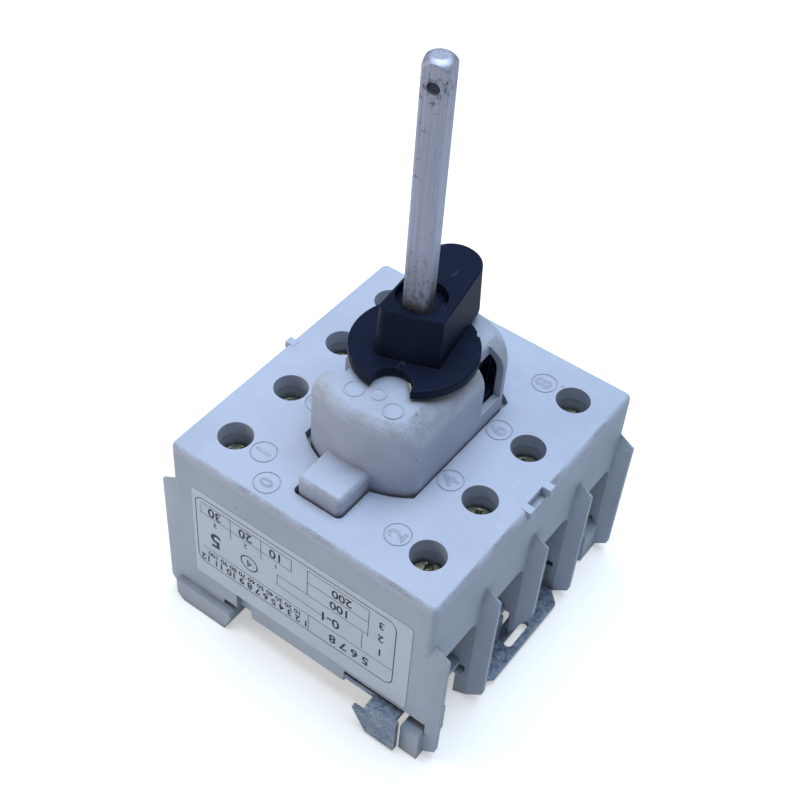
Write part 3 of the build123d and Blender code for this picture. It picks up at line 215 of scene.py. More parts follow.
class EffectGroups:
    """Shader node groups that several finishes share, each built once."""

    def __init__(self) -> None:
        """Builds all the groups."""
        self.wear_and_highlight = self._wear_and_highlight()
        self.mould = self._mould()
        self.drawn = self._drawn()
        self.scratches = self._scratches()
        self.spangle = self._spangle()
        self.corner_shade = self._corner_shade()

    @staticmethod
    def _start(name: str, inputs: dict[str, float],
               outputs: dict[str, str]) -> tuple[bpy.types.NodeTree, Graph, bpy.types.Node,
                                                 bpy.types.Node]:
        """Makes an empty group with its sockets.

        Args:
            name: The group's name.
            inputs: Float inputs with their usual values.
            outputs: Outputs with their socket types.

        Returns:
            The tree, its graph, and its input and output nodes.
        """
        tree = bpy.data.node_groups.new(name, "ShaderNodeTree")
        for socket, value in inputs.items():
            made = tree.interface.new_socket(socket, in_out="INPUT", socket_type="NodeSocketFloat")
            made.default_value = value
        for socket, kind in outputs.items():
            tree.interface.new_socket(socket, in_out="OUTPUT", socket_type=kind)
        graph = Graph(tree)
        return tree, graph, graph.node("NodeGroupInput"), graph.node("NodeGroupOutput")

    def _wear_and_highlight(self) -> bpy.types.NodeTree:
        """Edges: a softened normal, a clean edge line that the finishes lighten as a painted
        highlight, and speckled worn bands on rounded edges.

        Returns:
            The group's tree.
        """
        tree, g, given, out = self._start(
            "edge_wear", {"Radius": 0.0002, "Edge Reach": 0.4, "Round Reach": 0.8},
            {"Edge": "NodeSocketFloat", "Worn": "NodeSocketFloat", "Dark": "NodeSocketFloat",
             "Normal": "NodeSocketVector"})
        bevel = g.node("ShaderNodeBevel", {"samples": 6}, Radius=given.outputs["Radius"])
        geometry = g.node("ShaderNodeNewGeometry")
        dot = g.node("ShaderNodeVectorMath", {"operation": "DOT_PRODUCT"})
        g.put(dot.inputs[0], bevel.outputs["Normal"])
        g.put(dot.inputs[1], geometry.outputs["Normal"])
        edge = g.spread(g.math("SUBTRACT", 1.0, dot.outputs["Value"]), 0.015, 0.12)
        axes = g.node("ShaderNodeSeparateXYZ", Vector=geometry.outputs["Normal"])
        tilt = g.math("MULTIPLY", g.spread(axes.outputs["Z"], 0.12, 0.55),
                      g.spread(axes.outputs["Z"], 0.985, 0.90))
        forward = g.math("SUBTRACT", g.math("MULTIPLY", axes.outputs["X"], 0.7), axes.outputs["Y"])
        rounded = g.math("MULTIPLY", tilt, g.spread(forward, -0.3, 0.45, 0.25, 1.0))
        place = g.place()
        patches = g.spread(g.noise(place, 120.0, 3.0, 0.5), 0.35, 0.65, 0.35, 1.0)
        band = g.math("MULTIPLY", patches,
                      g.math("MAXIMUM", g.math("MULTIPLY", edge, given.outputs["Edge Reach"]),
                             g.math("MULTIPLY", rounded, given.outputs["Round Reach"])))
        grains = g.noise(place, 3600.0, 3.0, 0.7)
        worn = g.spread(g.math("ADD", grains, g.math("MULTIPLY", band, 0.34)), 0.60, 0.88)
        dots = g.noise(place, 5200.0, 1.0, 0.5)
        dark = g.spread(g.math("ADD", dots, g.math("MULTIPLY", band, 0.25)), 0.78, 0.90)
        results = {"Edge": edge, "Worn": worn, "Dark": dark, "Normal": bevel.outputs["Normal"]}
        for name, value in results.items():
            g.put(out.inputs[name], value)
        return tree

    def _mould(self) -> bpy.types.NodeTree:
        """Moulded plastic: fine grain height, cloudy tone and a few dark specks.

        Returns:
            The group's tree.
        """
        tree, g, given, out = self._start(
            "moulded_surface", {"Grain Scale": 2600.0, "Cloud Scale": 60.0},
            {"Height": "NodeSocketFloat", "Tone": "NodeSocketFloat", "Specks": "NodeSocketFloat"})
        place = g.place()
        fine = g.noise(place, given.outputs["Grain Scale"], 2.0, 0.6)
        orange = g.noise(place, 700.0, 3.0, 0.5)
        g.put(out.inputs["Height"], g.math("ADD", g.math("MULTIPLY", fine, 0.5), orange))
        g.put(out.inputs["Tone"], g.noise(place, given.outputs["Cloud Scale"], 5.0, 0.6))
        dots = g.node("ShaderNodeTexVoronoi", Vector=place, Scale=230.0, Randomness=1.0)
        rare = g.spread(g.noise(place, 95.0, 1.0, 0.4), 0.60, 0.66)
        g.put(out.inputs["Specks"],
              g.math("MULTIPLY", g.spread(dots.outputs["Distance"], 0.09, 0.05), rare))
        return tree

    def _drawn(self) -> bpy.types.NodeTree:
        """Drawn bar: fine long lines, broad soft stripes and raw blots.

        Returns:
            The group's tree.
        """
        tree, g, given, out = self._start(
            "drawn_bar", {"Line Scale": 1.0},
            {"Lines": "NodeSocketFloat", "Stripes": "NodeSocketFloat", "Blots": "NodeSocketFloat"})
        scale = given.outputs["Line Scale"]
        g.put(out.inputs["Lines"], g.noise(g.place((5200.0, 5200.0, 60.0)), scale, 3.0, 0.6))
        g.put(out.inputs["Stripes"], g.noise(g.place((900.0, 900.0, 18.0)), scale, 2.0, 0.5))
        g.put(out.inputs["Blots"], g.noise(g.place((1300.0, 1300.0, 800.0)), scale, 5.0, 0.7))
        return tree

    def _scratches(self) -> bpy.types.NodeTree:
        """Thin curved scratches, few and short.

        Returns:
            The group's tree.
        """
        tree, g, given, out = self._start(
            "thin_scratches", {"Scale": 260.0, "Width": 0.008}, {"Lines": "NodeSocketFloat"})
        place = g.place((1.0, 0.6, 0.8), (0.4, 0.3, 0.9))
        swirl = g.noise(place, given.outputs["Scale"], 0.0, 0.5)
        away = g.math("ABSOLUTE", g.math("SUBTRACT", swirl, 0.5))
        thin = g.math("LESS_THAN", away, given.outputs["Width"])
        coarse = g.math("MULTIPLY", given.outputs["Scale"], 0.8)
        few = g.spread(g.noise(g.place(), coarse, 2.0, 0.5), 0.56, 0.62)
        g.put(out.inputs["Lines"], g.math("MULTIPLY", thin, few))
        return tree

    def _spangle(self) -> bpy.types.NodeTree:
        """Zinc plating: flat crystals of unlike tone, with white bloom between them.

        Returns:
            The group's tree.
        """
        tree, g, given, out = self._start(
            "zinc_spangle", {"Crystal Scale": 2300.0},
            {"Tone": "NodeSocketFloat", "Bloom": "NodeSocketFloat"})
        place = g.place()
        cells = g.node("ShaderNodeTexVoronoi", Vector=place, Scale=given.outputs["Crystal Scale"])
        grey = g.node("ShaderNodeSeparateColor", Color=cells.outputs["Color"])
        g.put(out.inputs["Tone"], grey.outputs[0])
        g.put(out.inputs["Bloom"], g.spread(g.noise(place, 420.0, 6.0, 0.7), 0.48, 0.64))
        return tree

    def _corner_shade(self) -> bpy.types.NodeTree:
        """Painted shade in corners: a blotchy mask that is strong where a surface is closed in.

        Returns:
            The group's tree.
        """
        tree, g, given, out = self._start(
            "painted_corner_shade", {"Reach": 0.003}, {"Mask": "NodeSocketFloat"})
        shut = g.node("ShaderNodeAmbientOcclusion", {"samples": 6}, Distance=given.outputs["Reach"])
        clear = g.spread(shut.outputs["AO"], 0.25, 0.95, 1.0, 0.0)
        blotch = g.noise(g.place(), 330.0, 4.0, 0.6)
        g.put(out.inputs["Mask"], g.math("MULTIPLY", clear, g.spread(blotch, 0.3, 0.6, 0.5, 1.0)))
        return tree


def shader(name: str) -> tuple[bpy.types.Material, Graph, bpy.types.Node]:
    """Starts a material.

    Args:
        name: The material's name.

    Returns:
        The material, its graph and its Principled shader.
    """
    material = bpy.data.materials.new(name)
    material.use_nodes = True
    graph = Graph(material.node_tree)
    return material, graph, material.node_tree.nodes["Principled BSDF"]


def placed(graph: Graph, tree: bpy.types.NodeTree, **inputs: float) -> bpy.types.Node:
    """Puts an effect group into a material.

    Args:
        graph: The material's graph.
        tree: The group's tree.
        **inputs: The group's inputs by name, with underscores for spaces.

    Returns:
        The group node.
    """
    return graph.node("ShaderNodeGroup", {"node_tree": tree}, **inputs)


@dataclass(frozen=True)
class PlasticFinish:
    """Moulded plastic with a painted highlight along its edges, speckled worn bands and painted
    shade in its corners.
    """

    name: str
    colour: tuple[float, float, float]
    # the colour of the painted highlight along edges, also used for scratches
    edge: tuple[float, float, float]
    # the colour of the painted shade in closed-in corners
    shade_colour: tuple[float, float, float]
    worn: tuple[float, float, float] = linear(148, 151, 154)
    grit: tuple[float, float, float] = linear(112, 112, 110)
    edge_wear: float = 0.3
    round_wear: float = 0.0
    # how strong the painted corner shade is
    corner_shading: float = 0.5
    roughness: float = 0.5
    specular: float = 0.35
    sheen: tuple[float, float, float] = (1.0, 1.0, 1.0)
    cloud: float = 0.05
    cloud_scale: float = 60.0
    scratches: float = 0.15
    edge_radius: float = 0.2 * MM
    specks: float = 0.6

    def material(self, groups: EffectGroups) -> bpy.types.Material:
        """Builds the material.

        Args:
            groups: The shader node groups that the finishes share.

        Returns:
            The new material.
        """
        made, g, bsdf = shader(self.name)
        mould = placed(g, groups.mould, Cloud_Scale=self.cloud_scale)
        wear_and_highlight = placed(g, groups.wear_and_highlight, Radius=self.edge_radius, Edge_Reach=self.edge_wear,
                      Round_Reach=self.round_wear)
        corner_shade = placed(g, groups.corner_shade, Reach=3.0 * MM)
        lines = placed(g, groups.scratches).outputs["Lines"]
        low = tuple(c * (1.0 - self.cloud) for c in self.colour)
        high = tuple(min(1.0, c * (1.0 + self.cloud)) for c in self.colour)
        body = g.mix(g.spread(mould.outputs["Tone"], 0.3, 0.7), low, high)
        # painted shade: closed-in corners are darkened towards the shade colour, in blotches
        body = g.mix(g.math("MULTIPLY", corner_shade.outputs["Mask"], self.corner_shading), body, self.shade_colour)
        # painted highlight: a thin line along every edge is lightened
        body = g.mix(g.math("MULTIPLY", wear_and_highlight.outputs["Edge"], 0.45), body, self.edge)
        body = g.mix(g.math("MULTIPLY", lines, self.scratches), body, self.edge)
        body = g.mix(g.math("MULTIPLY", wear_and_highlight.outputs["Worn"], 0.6), body, self.worn)
        body = g.mix(g.math("MULTIPLY", wear_and_highlight.outputs["Dark"], 0.6), body, self.grit)
        speck = g.math("MULTIPLY", mould.outputs["Specks"], self.specks)
        g.put(bsdf.inputs["Base Color"], g.mix(speck, body, self.grit))
        rough = g.math("ADD", self.roughness, g.math("MULTIPLY", wear_and_highlight.outputs["Worn"], 0.25))
        g.put(bsdf.inputs["Roughness"],
              g.math("ADD", rough, g.math("MULTIPLY", mould.outputs["Tone"], 0.08)))
        worn_down = g.math("MULTIPLY", wear_and_highlight.outputs["Worn"], 1.2)
        dents = g.math("SUBTRACT", mould.outputs["Height"], worn_down)
        bump = g.node("ShaderNodeBump", Strength=0.12, Distance=0.04 * MM, Height=dents,
                      Normal=wear_and_highlight.outputs["Normal"])
        g.put(bsdf.inputs["Normal"], bump.outputs["Normal"])
        bsdf.inputs["Specular IOR Level"].default_value = self.specular
        g.put(bsdf.inputs["Specular Tint"], self.sheen)
        return made


@dataclass(frozen=True)
class MetalFinish:
    """Plain metal with cloudy tone, fine scratches and a painted highlight along its edges."""

    name: str
    colour: tuple[float, float, float]
    tarnish: tuple[float, float, float]
    roughness: float = 0.32
    tarnished: float = 0.35
    metallic: float = 1.0
    scratch_scale: float = 1400.0
    edge_radius: float = 0.15 * MM

    def material(self, groups: EffectGroups) -> bpy.types.Material:
        """Builds the material.

        Args:
            groups: The shader node groups that the finishes share.

        Returns:
            The new material.
        """
        made, g, bsdf = shader(self.name)
        wear_and_highlight = placed(g, groups.wear_and_highlight, Radius=self.edge_radius, Edge_Reach=0.5, Round_Reach=0.0)
        cloud = g.noise(g.place(), 420.0, 5.0, 0.65)
        scratch = g.noise(g.place((1.0, 0.12, 1.0), (0.3, 0.2, 0.7)), self.scratch_scale, 3.0, 0.6)
        stain_and_foot_shade = g.math("MULTIPLY", g.spread(cloud, 0.42, 0.66), self.tarnished)
        body = g.mix(stain_and_foot_shade, self.colour, self.tarnish)
        # painted highlight: a thin line along edges is lightened
        light = tuple(min(1.0, c * 1.15) for c in self.colour)
        rubbed_and_edge_highlight = g.math("MULTIPLY", wear_and_highlight.outputs["Edge"], 0.6)
        g.put(bsdf.inputs["Base Color"], g.mix(rubbed_and_edge_highlight, body, light))
        cloudy = g.math("MULTIPLY", cloud, 0.22)
        g.put(bsdf.inputs["Roughness"], g.math("ADD", self.roughness, cloudy))
        bsdf.inputs["Metallic"].default_value = self.metallic
        bump = g.node("ShaderNodeBump", Strength=0.15, Distance=0.03 * MM, Height=scratch,
                      Normal=wear_and_highlight.outputs["Normal"])
        g.put(bsdf.inputs["Normal"], bump.outputs["Normal"])
        return made


@dataclass(frozen=True)
class BarFinish:
    """Drawn aluminium bar with fine lines, scratches, stains at its foot and its hole, painted
    shade towards its foot and a painted highlight along its edges.
    """

    name: str = "drawn_aluminium"
    colour: tuple[float, float, float] = linear(190, 190, 208)
    stain_and_foot_shade: tuple[float, float, float] = linear(66, 70, 84)
    foot_z: float = 71.0 * MM
    shade_top_z: float = 90.0 * MM
    stain_top_z: float = 92.0 * MM
    hole_z: float = 120.0 * MM

    def material(self, groups: EffectGroups) -> bpy.types.Material:
        """Builds the material.

        Args:
            groups: The shader node groups that the finishes share.

        Returns:
            The new material.
        """
        made, g, bsdf = shader(self.name)
        bar = placed(g, groups.drawn)
        wear_and_highlight = placed(g, groups.wear_and_highlight, Radius=0.2 * MM, Edge_Reach=0.6, Round_Reach=0.0)
        lines = placed(g, groups.scratches, Scale=420.0, Width=0.012).outputs["Lines"]
        height = g.node("ShaderNodeSeparateXYZ", Vector=g.place()).outputs["Z"]
        near_foot = g.spread(height, self.foot_z, self.stain_top_z, 0.13, 0.0)
        from_hole = g.math("ABSOLUTE", g.math("SUBTRACT", height, self.hole_z))
        near_hole = g.spread(from_hole, 0.8 * MM, 4.0 * MM, 0.10, 0.0)
        stained = g.math("ADD", bar.outputs["Blots"], g.math("MAXIMUM", near_foot, near_hole))
        body = g.mix(g.spread(bar.outputs["Lines"], 0.34, 0.66),
                     tuple(c * 0.80 for c in self.colour), tuple(c * 1.08 for c in self.colour))
        body = g.mix(g.spread(bar.outputs["Stripes"], 0.40, 0.64, 0.0, 0.45), body,
                     tuple(c * 0.70 for c in self.colour))
        # painted shade: the bar darkens towards its foot in the stain colour
        body = g.mix(g.spread(height, self.foot_z, self.shade_top_z, 0.55, 0.0), body, self.stain_and_foot_shade)
        body = g.mix(g.spread(stained, 0.60, 0.72, 0.0, 0.75), body, self.stain_and_foot_shade)
        body = g.mix(g.math("MULTIPLY", lines, 0.55), body, self.stain_and_foot_shade)
        # painted highlight: a thin line along edges is lightened
        bright = tuple(min(1.0, c * 1.3) for c in self.colour)
        rubbed_and_edge_highlight = g.math("MULTIPLY", wear_and_highlight.outputs["Edge"], 0.3)
        g.put(bsdf.inputs["Base Color"], g.mix(rubbed_and_edge_highlight, body, bright))
        g.put(bsdf.inputs["Metallic"], g.spread(stained, 0.60, 0.72, 0.8, 0.35))
        g.put(bsdf.inputs["Roughness"], g.spread(bar.outputs["Lines"], 0.2, 0.8, 0.46, 0.60))
        relief = g.math("SUBTRACT", bar.outputs["Lines"], g.math("MULTIPLY", lines, 0.8))
        bump = g.node("ShaderNodeBump", Strength=0.3, Distance=0.03 * MM, Height=relief,
                      Normal=wear_and_highlight.outputs["Normal"])
        g.put(bsdf.inputs["Normal"], bump.outputs["Normal"])
        return made


@dataclass(frozen=True)
class ZincFinish:
    """Zinc-plated sheet steel with small crystals, white bloom and a painted highlight along its
    edges.
    """

    name: str = "zinc_plate"
    dark: tuple[float, float, float] = linear(122, 132, 152)
    light: tuple[float, float, float] = linear(164, 174, 192)
    bloom: tuple[float, float, float] = linear(190, 196, 204)

    def material(self, groups: EffectGroups) -> bpy.types.Material:
        """Builds the material.

        Args:
            groups: The shader node groups that the finishes share.

        Returns:
            The new material.
        """
        made, g, bsdf = shader(self.name)
        zinc = placed(g, groups.spangle)
        wear_and_highlight = placed(g, groups.wear_and_highlight, Radius=0.25 * MM, Edge_Reach=0.5, Round_Reach=0.0)
        body = g.mix(zinc.outputs["Tone"], self.dark, self.light)
        hazy = g.mix(g.math("MULTIPLY", zinc.outputs["Bloom"], 0.55), body, self.bloom)
        # painted highlight: a thin line along edges is lightened towards the bloom colour
        rubbed_and_edge_highlight = g.math("MULTIPLY", wear_and_highlight.outputs["Edge"], 0.5)
        g.put(bsdf.inputs["Base Color"], g.mix(rubbed_and_edge_highlight, hazy, self.bloom))
        g.put(bsdf.inputs["Metallic"], g.spread(zinc.outputs["Bloom"], 0.0, 1.0, 0.85, 0.45))
        g.put(bsdf.inputs["Roughness"], g.spread(zinc.outputs["Tone"], 0.0, 1.0, 0.34, 0.52))
        bump = g.node("ShaderNodeBump", Strength=0.2, Distance=0.03 * MM,
                      Height=zinc.outputs["Tone"], Normal=wear_and_highlight.outputs["Normal"])
        g.put(bsdf.inputs["Normal"], bump.outputs["Normal"])
        return made


@dataclass(frozen=True)
class FilmFinish:
    """Printed film: a flat pale sheet or the ink on it, a little rubbed, with painted shade in
    closed-in corners.
    """

    name: str
    colour: tuple[float, float, float]
    rubbed_and_edge_highlight: tuple[float, float, float]
    rub: float = 0.3
    roughness: float = 0.42

    def material(self, groups: EffectGroups) -> bpy.types.Material:
        """Builds the material.

        Args:
            groups: The shader node groups that the finishes share.

        Returns:
            The new material.
        """
        made, g, bsdf = shader(self.name)
        mould = placed(g, groups.mould, Cloud_Scale=160.0)
        corner_shade = placed(g, groups.corner_shade, Reach=2.0 * MM)
        patches = g.math("MULTIPLY", g.spread(mould.outputs["Tone"], 0.45, 0.72), self.rub)
        body = g.mix(patches, self.colour, self.rubbed_and_edge_highlight)
        # painted shade: closed-in corners of the film are darkened
        shaded_film = tuple(c * 0.7 for c in self.colour)
        film_shade = g.math("MULTIPLY", corner_shade.outputs["Mask"], 0.3)
        g.put(bsdf.inputs["Base Color"], g.mix(film_shade, body, shaded_film))
        matt = g.math("MULTIPLY", patches, 0.3)
        g.put(bsdf.inputs["Roughness"], g.math("ADD", self.roughness, matt))
        bump = g.node("ShaderNodeBump", Strength=0.1, Distance=0.02 * MM,
                      Height=mould.outputs["Height"])
        g.put(bsdf.inputs["Normal"], bump.outputs["Normal"])
        return made


class Slot(Enum):
    """The record's material slots."""

    HOUSING = "housing_plastic"
    LID = "lid_plastic"
    COVER = "cover_plastic"
    LABEL = "label_film"
    BLACK = "black_plastic"
    INNER = "inner_plastic"
    ZINC = "zinc_steel"
    STEEL = "steel"
    SCREW = "screw_steel"
    COPPER = "copper"
    SILVER = "silver"
    ALUMINIUM = "aluminium"


class Finishes:
    """Every finish of the switch, made into a material once."""

    def __init__(self, groups: EffectGroups) -> None:
        """Makes a material for each of the record's slots, and one for the ink.

        Args:
            groups: The shader node groups that the finishes share.
        """
        pale = linear(206, 211, 224)
        # pale is the painted edge highlight; the dark grey below is the painted shade in closed-in
        # corners
        shade_grey = linear(74, 74, 72)
        finishes = {
            Slot.HOUSING: PlasticFinish("housing_plastic", linear(180, 187, 202), pale, shade_grey,
                                        edge_wear=0.35, round_wear=0.6, corner_shading=0.75),
            Slot.LID: PlasticFinish("lid_plastic", linear(188, 193, 213), pale, shade_grey,
                                    edge_wear=0.35, round_wear=1.2, corner_shading=0.45, scratches=0.25),
            Slot.COVER: PlasticFinish("cover_plastic", linear(180, 185, 204), pale, shade_grey,
                                      edge_wear=0.3, round_wear=1.1, cloud=0.09, cloud_scale=95.0),
            Slot.LABEL: FilmFinish("label_film", linear(206, 213, 228), linear(192, 199, 214)),
            Slot.BLACK: PlasticFinish("black_plastic", linear(25, 30, 50), linear(76, 84, 110),
                                      linear(8, 11, 20), worn=linear(42, 52, 82),
                                      grit=linear(8, 9, 14), edge_wear=0.3, corner_shading=0.35,
                                      roughness=0.46, specular=0.10, sheen=(0.55, 0.72, 1.0),
                                      cloud=0.14, scratches=0.5, specks=0.0),
            Slot.INNER: PlasticFinish("inner_plastic", linear(190, 182, 160), linear(204, 198, 180),
                                      linear(96, 90, 80)),
            Slot.ZINC: ZincFinish(),
            Slot.STEEL: MetalFinish("bright_steel", linear(150, 152, 156), linear(98, 98, 100)),
            Slot.SCREW: MetalFinish("screw_steel", linear(176, 172, 150), linear(92, 88, 72),
                                    roughness=0.28, tarnished=0.6),
            Slot.COPPER: MetalFinish("bare_copper", linear(196, 122, 86), linear(120, 72, 52)),
            Slot.SILVER: MetalFinish("contact_silver", linear(205, 205, 205), linear(140, 138, 134),
                                     roughness=0.25),
            Slot.ALUMINIUM: BarFinish(),
        }
        self.materials = {slot: finish.material(groups) for slot, finish in finishes.items()}
        ink = FilmFinish("label_ink", linear(30, 32, 46), linear(92, 96, 110), roughness=0.5)
        self.ink = ink.material(groups)

    def dress(self, piece: bpy.types.Object, slot: Slot) -> None:
        """Gives a piece the finish of a slot, in place of what it had."""
        piece.data.materials.clear()
        piece.data.materials.append(self.materials[slot])


def new_piece(name: str, mesh: bpy.types.Mesh) -> bpy.types.Object:
    """Makes an object of a mesh, at the origin.

    Args:
        name: The piece's name.
        mesh: Its mesh, already in place.

    Returns:
        The linked object.
    """
    piece = bpy.data.objects.new(name, mesh)
    bpy.context.scene.collection.objects.link(piece)
    return piece


def mesh_from(name: str, work: bmesh.types.BMesh) -> bpy.types.Mesh:
    """Writes a worked mesh into a new mesh and frees it.

    Args:
        name: The new mesh's name.
        work: The mesh being built.

    Returns:
        The new mesh.
    """
    mesh = bpy.data.meshes.new(name)
    work.to_mesh(mesh)
    work.free()
    return mesh


def baked(name: str, source: bpy.types.Object) -> bpy.types.Object:
    """Turns what an object looks like, modifiers included, into a plain mesh piece.

    Args:
        name: The new piece's name.
        source: The object, which is removed.

    Returns:
        The new piece at the origin, unturned.
    """
    bpy.context.view_layer.update()
    evaluated = source.evaluated_get(bpy.context.evaluated_depsgraph_get())
    mesh = bpy.data.meshes.new_from_object(evaluated)
    mesh.transform(source.matrix_world)
    bpy.data.objects.remove(source)
    return new_piece(name, mesh)


def joined(name: str, parts: list[bpy.types.Object]) -> bpy.types.Object:
    """Joins mesh pieces that stand at the origin into one piece.

    Args:
        name: The joined piece's name.
        parts: The pieces, which are removed.

    Returns:
        The joined piece.
    """
    whole = bmesh.new()
    for part in parts:
        whole.from_mesh(part.data)
        bpy.data.objects.remove(part)
    return new_piece(name, mesh_from(name, whole))


def lettering(text: str, size: float, place: Matrix,
              settings: dict[str, object]) -> bpy.types.Object:
    """Makes a piece of type, centred at a place, as a plain mesh.

    Args:
        text: What it says.
        size: The size of the type, in metres.
        place: Where it stands and how it is turned.
        settings: Further properties of the text curve.

    Returns:
        The mesh piece.
    """
    curve = bpy.data.curves.new(f"type_{text}", "FONT")
    curve.body = text
    curve.size = size
    curve.align_x = "CENTER"
    curve.align_y = "CENTER"
    for name, value in settings.items():
        setattr(curve, name, value)
    holder = bpy.data.objects.new(f"type_{text}", curve)
    bpy.context.scene.collection.objects.link(holder)
    holder.matrix_world = place
    return baked(f"type_{text}", holder)


@dataclass
class SmoothSkins:
    """Smooth-shaded copies of the CAD nodes that have rounded surfaces."""

    finishes: Finishes
    merge_distance: float = 0.002 * MM
    crease: float = math.cos(math.radians(17.0))
    flat: float = 0.99999

    def faces_by_plane(self, work: bmesh.types.BMesh) -> tuple[list[int], list[float]]:
        """Groups the triangles that lie in one plane and touch each other.

        Args:
            work: The mesh, with its faces numbered.

        Returns:
            The group of each face, and the area of each group.
        """
        group = [-1] * len(work.faces)
        areas: list[float] = []
        for seed in work.faces:
            if group[seed.index] >= 0:
                continue
            group[seed.index] = len(areas)
            waiting, area = [seed], 0.0
            while waiting:
                face = waiting.pop()
                area += face.calc_area()
                for edge in face.edges:
                    for other in edge.link_faces:
                        if group[other.index] < 0 and other.normal.dot(seed.normal) > self.flat:
                            group[other.index] = len(areas)
                            waiting.append(other)
            areas.append(area)
        return group, areas

    def corner_normals(self, work: bmesh.types.BMesh) -> list[Vector]:
        """Gives each face corner its surface's normal, so flat faces stay flat up to a rounding.

        Args:
            work: The mesh.

        Returns:
            One normal for each corner, in the order of the faces.
        """
        work.faces.index_update()
        work.normal_update()
        group, areas = self.faces_by_plane(work)
        normals = []
        for face in work.faces:
            for corner in face.loops:
                met: dict[int, Vector] = {}
                for other in corner.vert.link_faces:
                    if other.normal.dot(face.normal) > self.crease:
                        met[group[other.index]] = other.normal
                total = sum((normal * areas[key] ** 2 for key, normal in met.items()), Vector())
                normals.append(total.normalized() if total.length > 0.0 else face.normal.copy())
        return normals

    def build(self, node: str, body: str, slot: Slot) -> bpy.types.Object:
        """Copies a node, merges its loose triangles and shades its curves smooth.

        Args:
            node: The CAD node that the copy stands for.
            body: The body that it rides on.
            slot: The slot of its finish.

        Returns:
            The new piece.
        """
        work = bmesh.new()
        work.from_mesh(frame["nodes"][node].data)
        bmesh.ops.remove_doubles(work, verts=work.verts, dist=self.merge_distance)
        for face in work.faces:
            face.smooth = True
            face.material_index = 0
        normals = self.corner_normals(work)
        mesh = mesh_from(f"{node}_skin", work)
        mesh.normals_split_custom_set(normals)
        piece = new_piece(f"{node}_skin", mesh)
        self.finishes.dress(piece, slot)
        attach(piece, body)
        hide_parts(node)
        LOG.info("%s: skin with %d faces", node, len(mesh.polygons))
        return piece


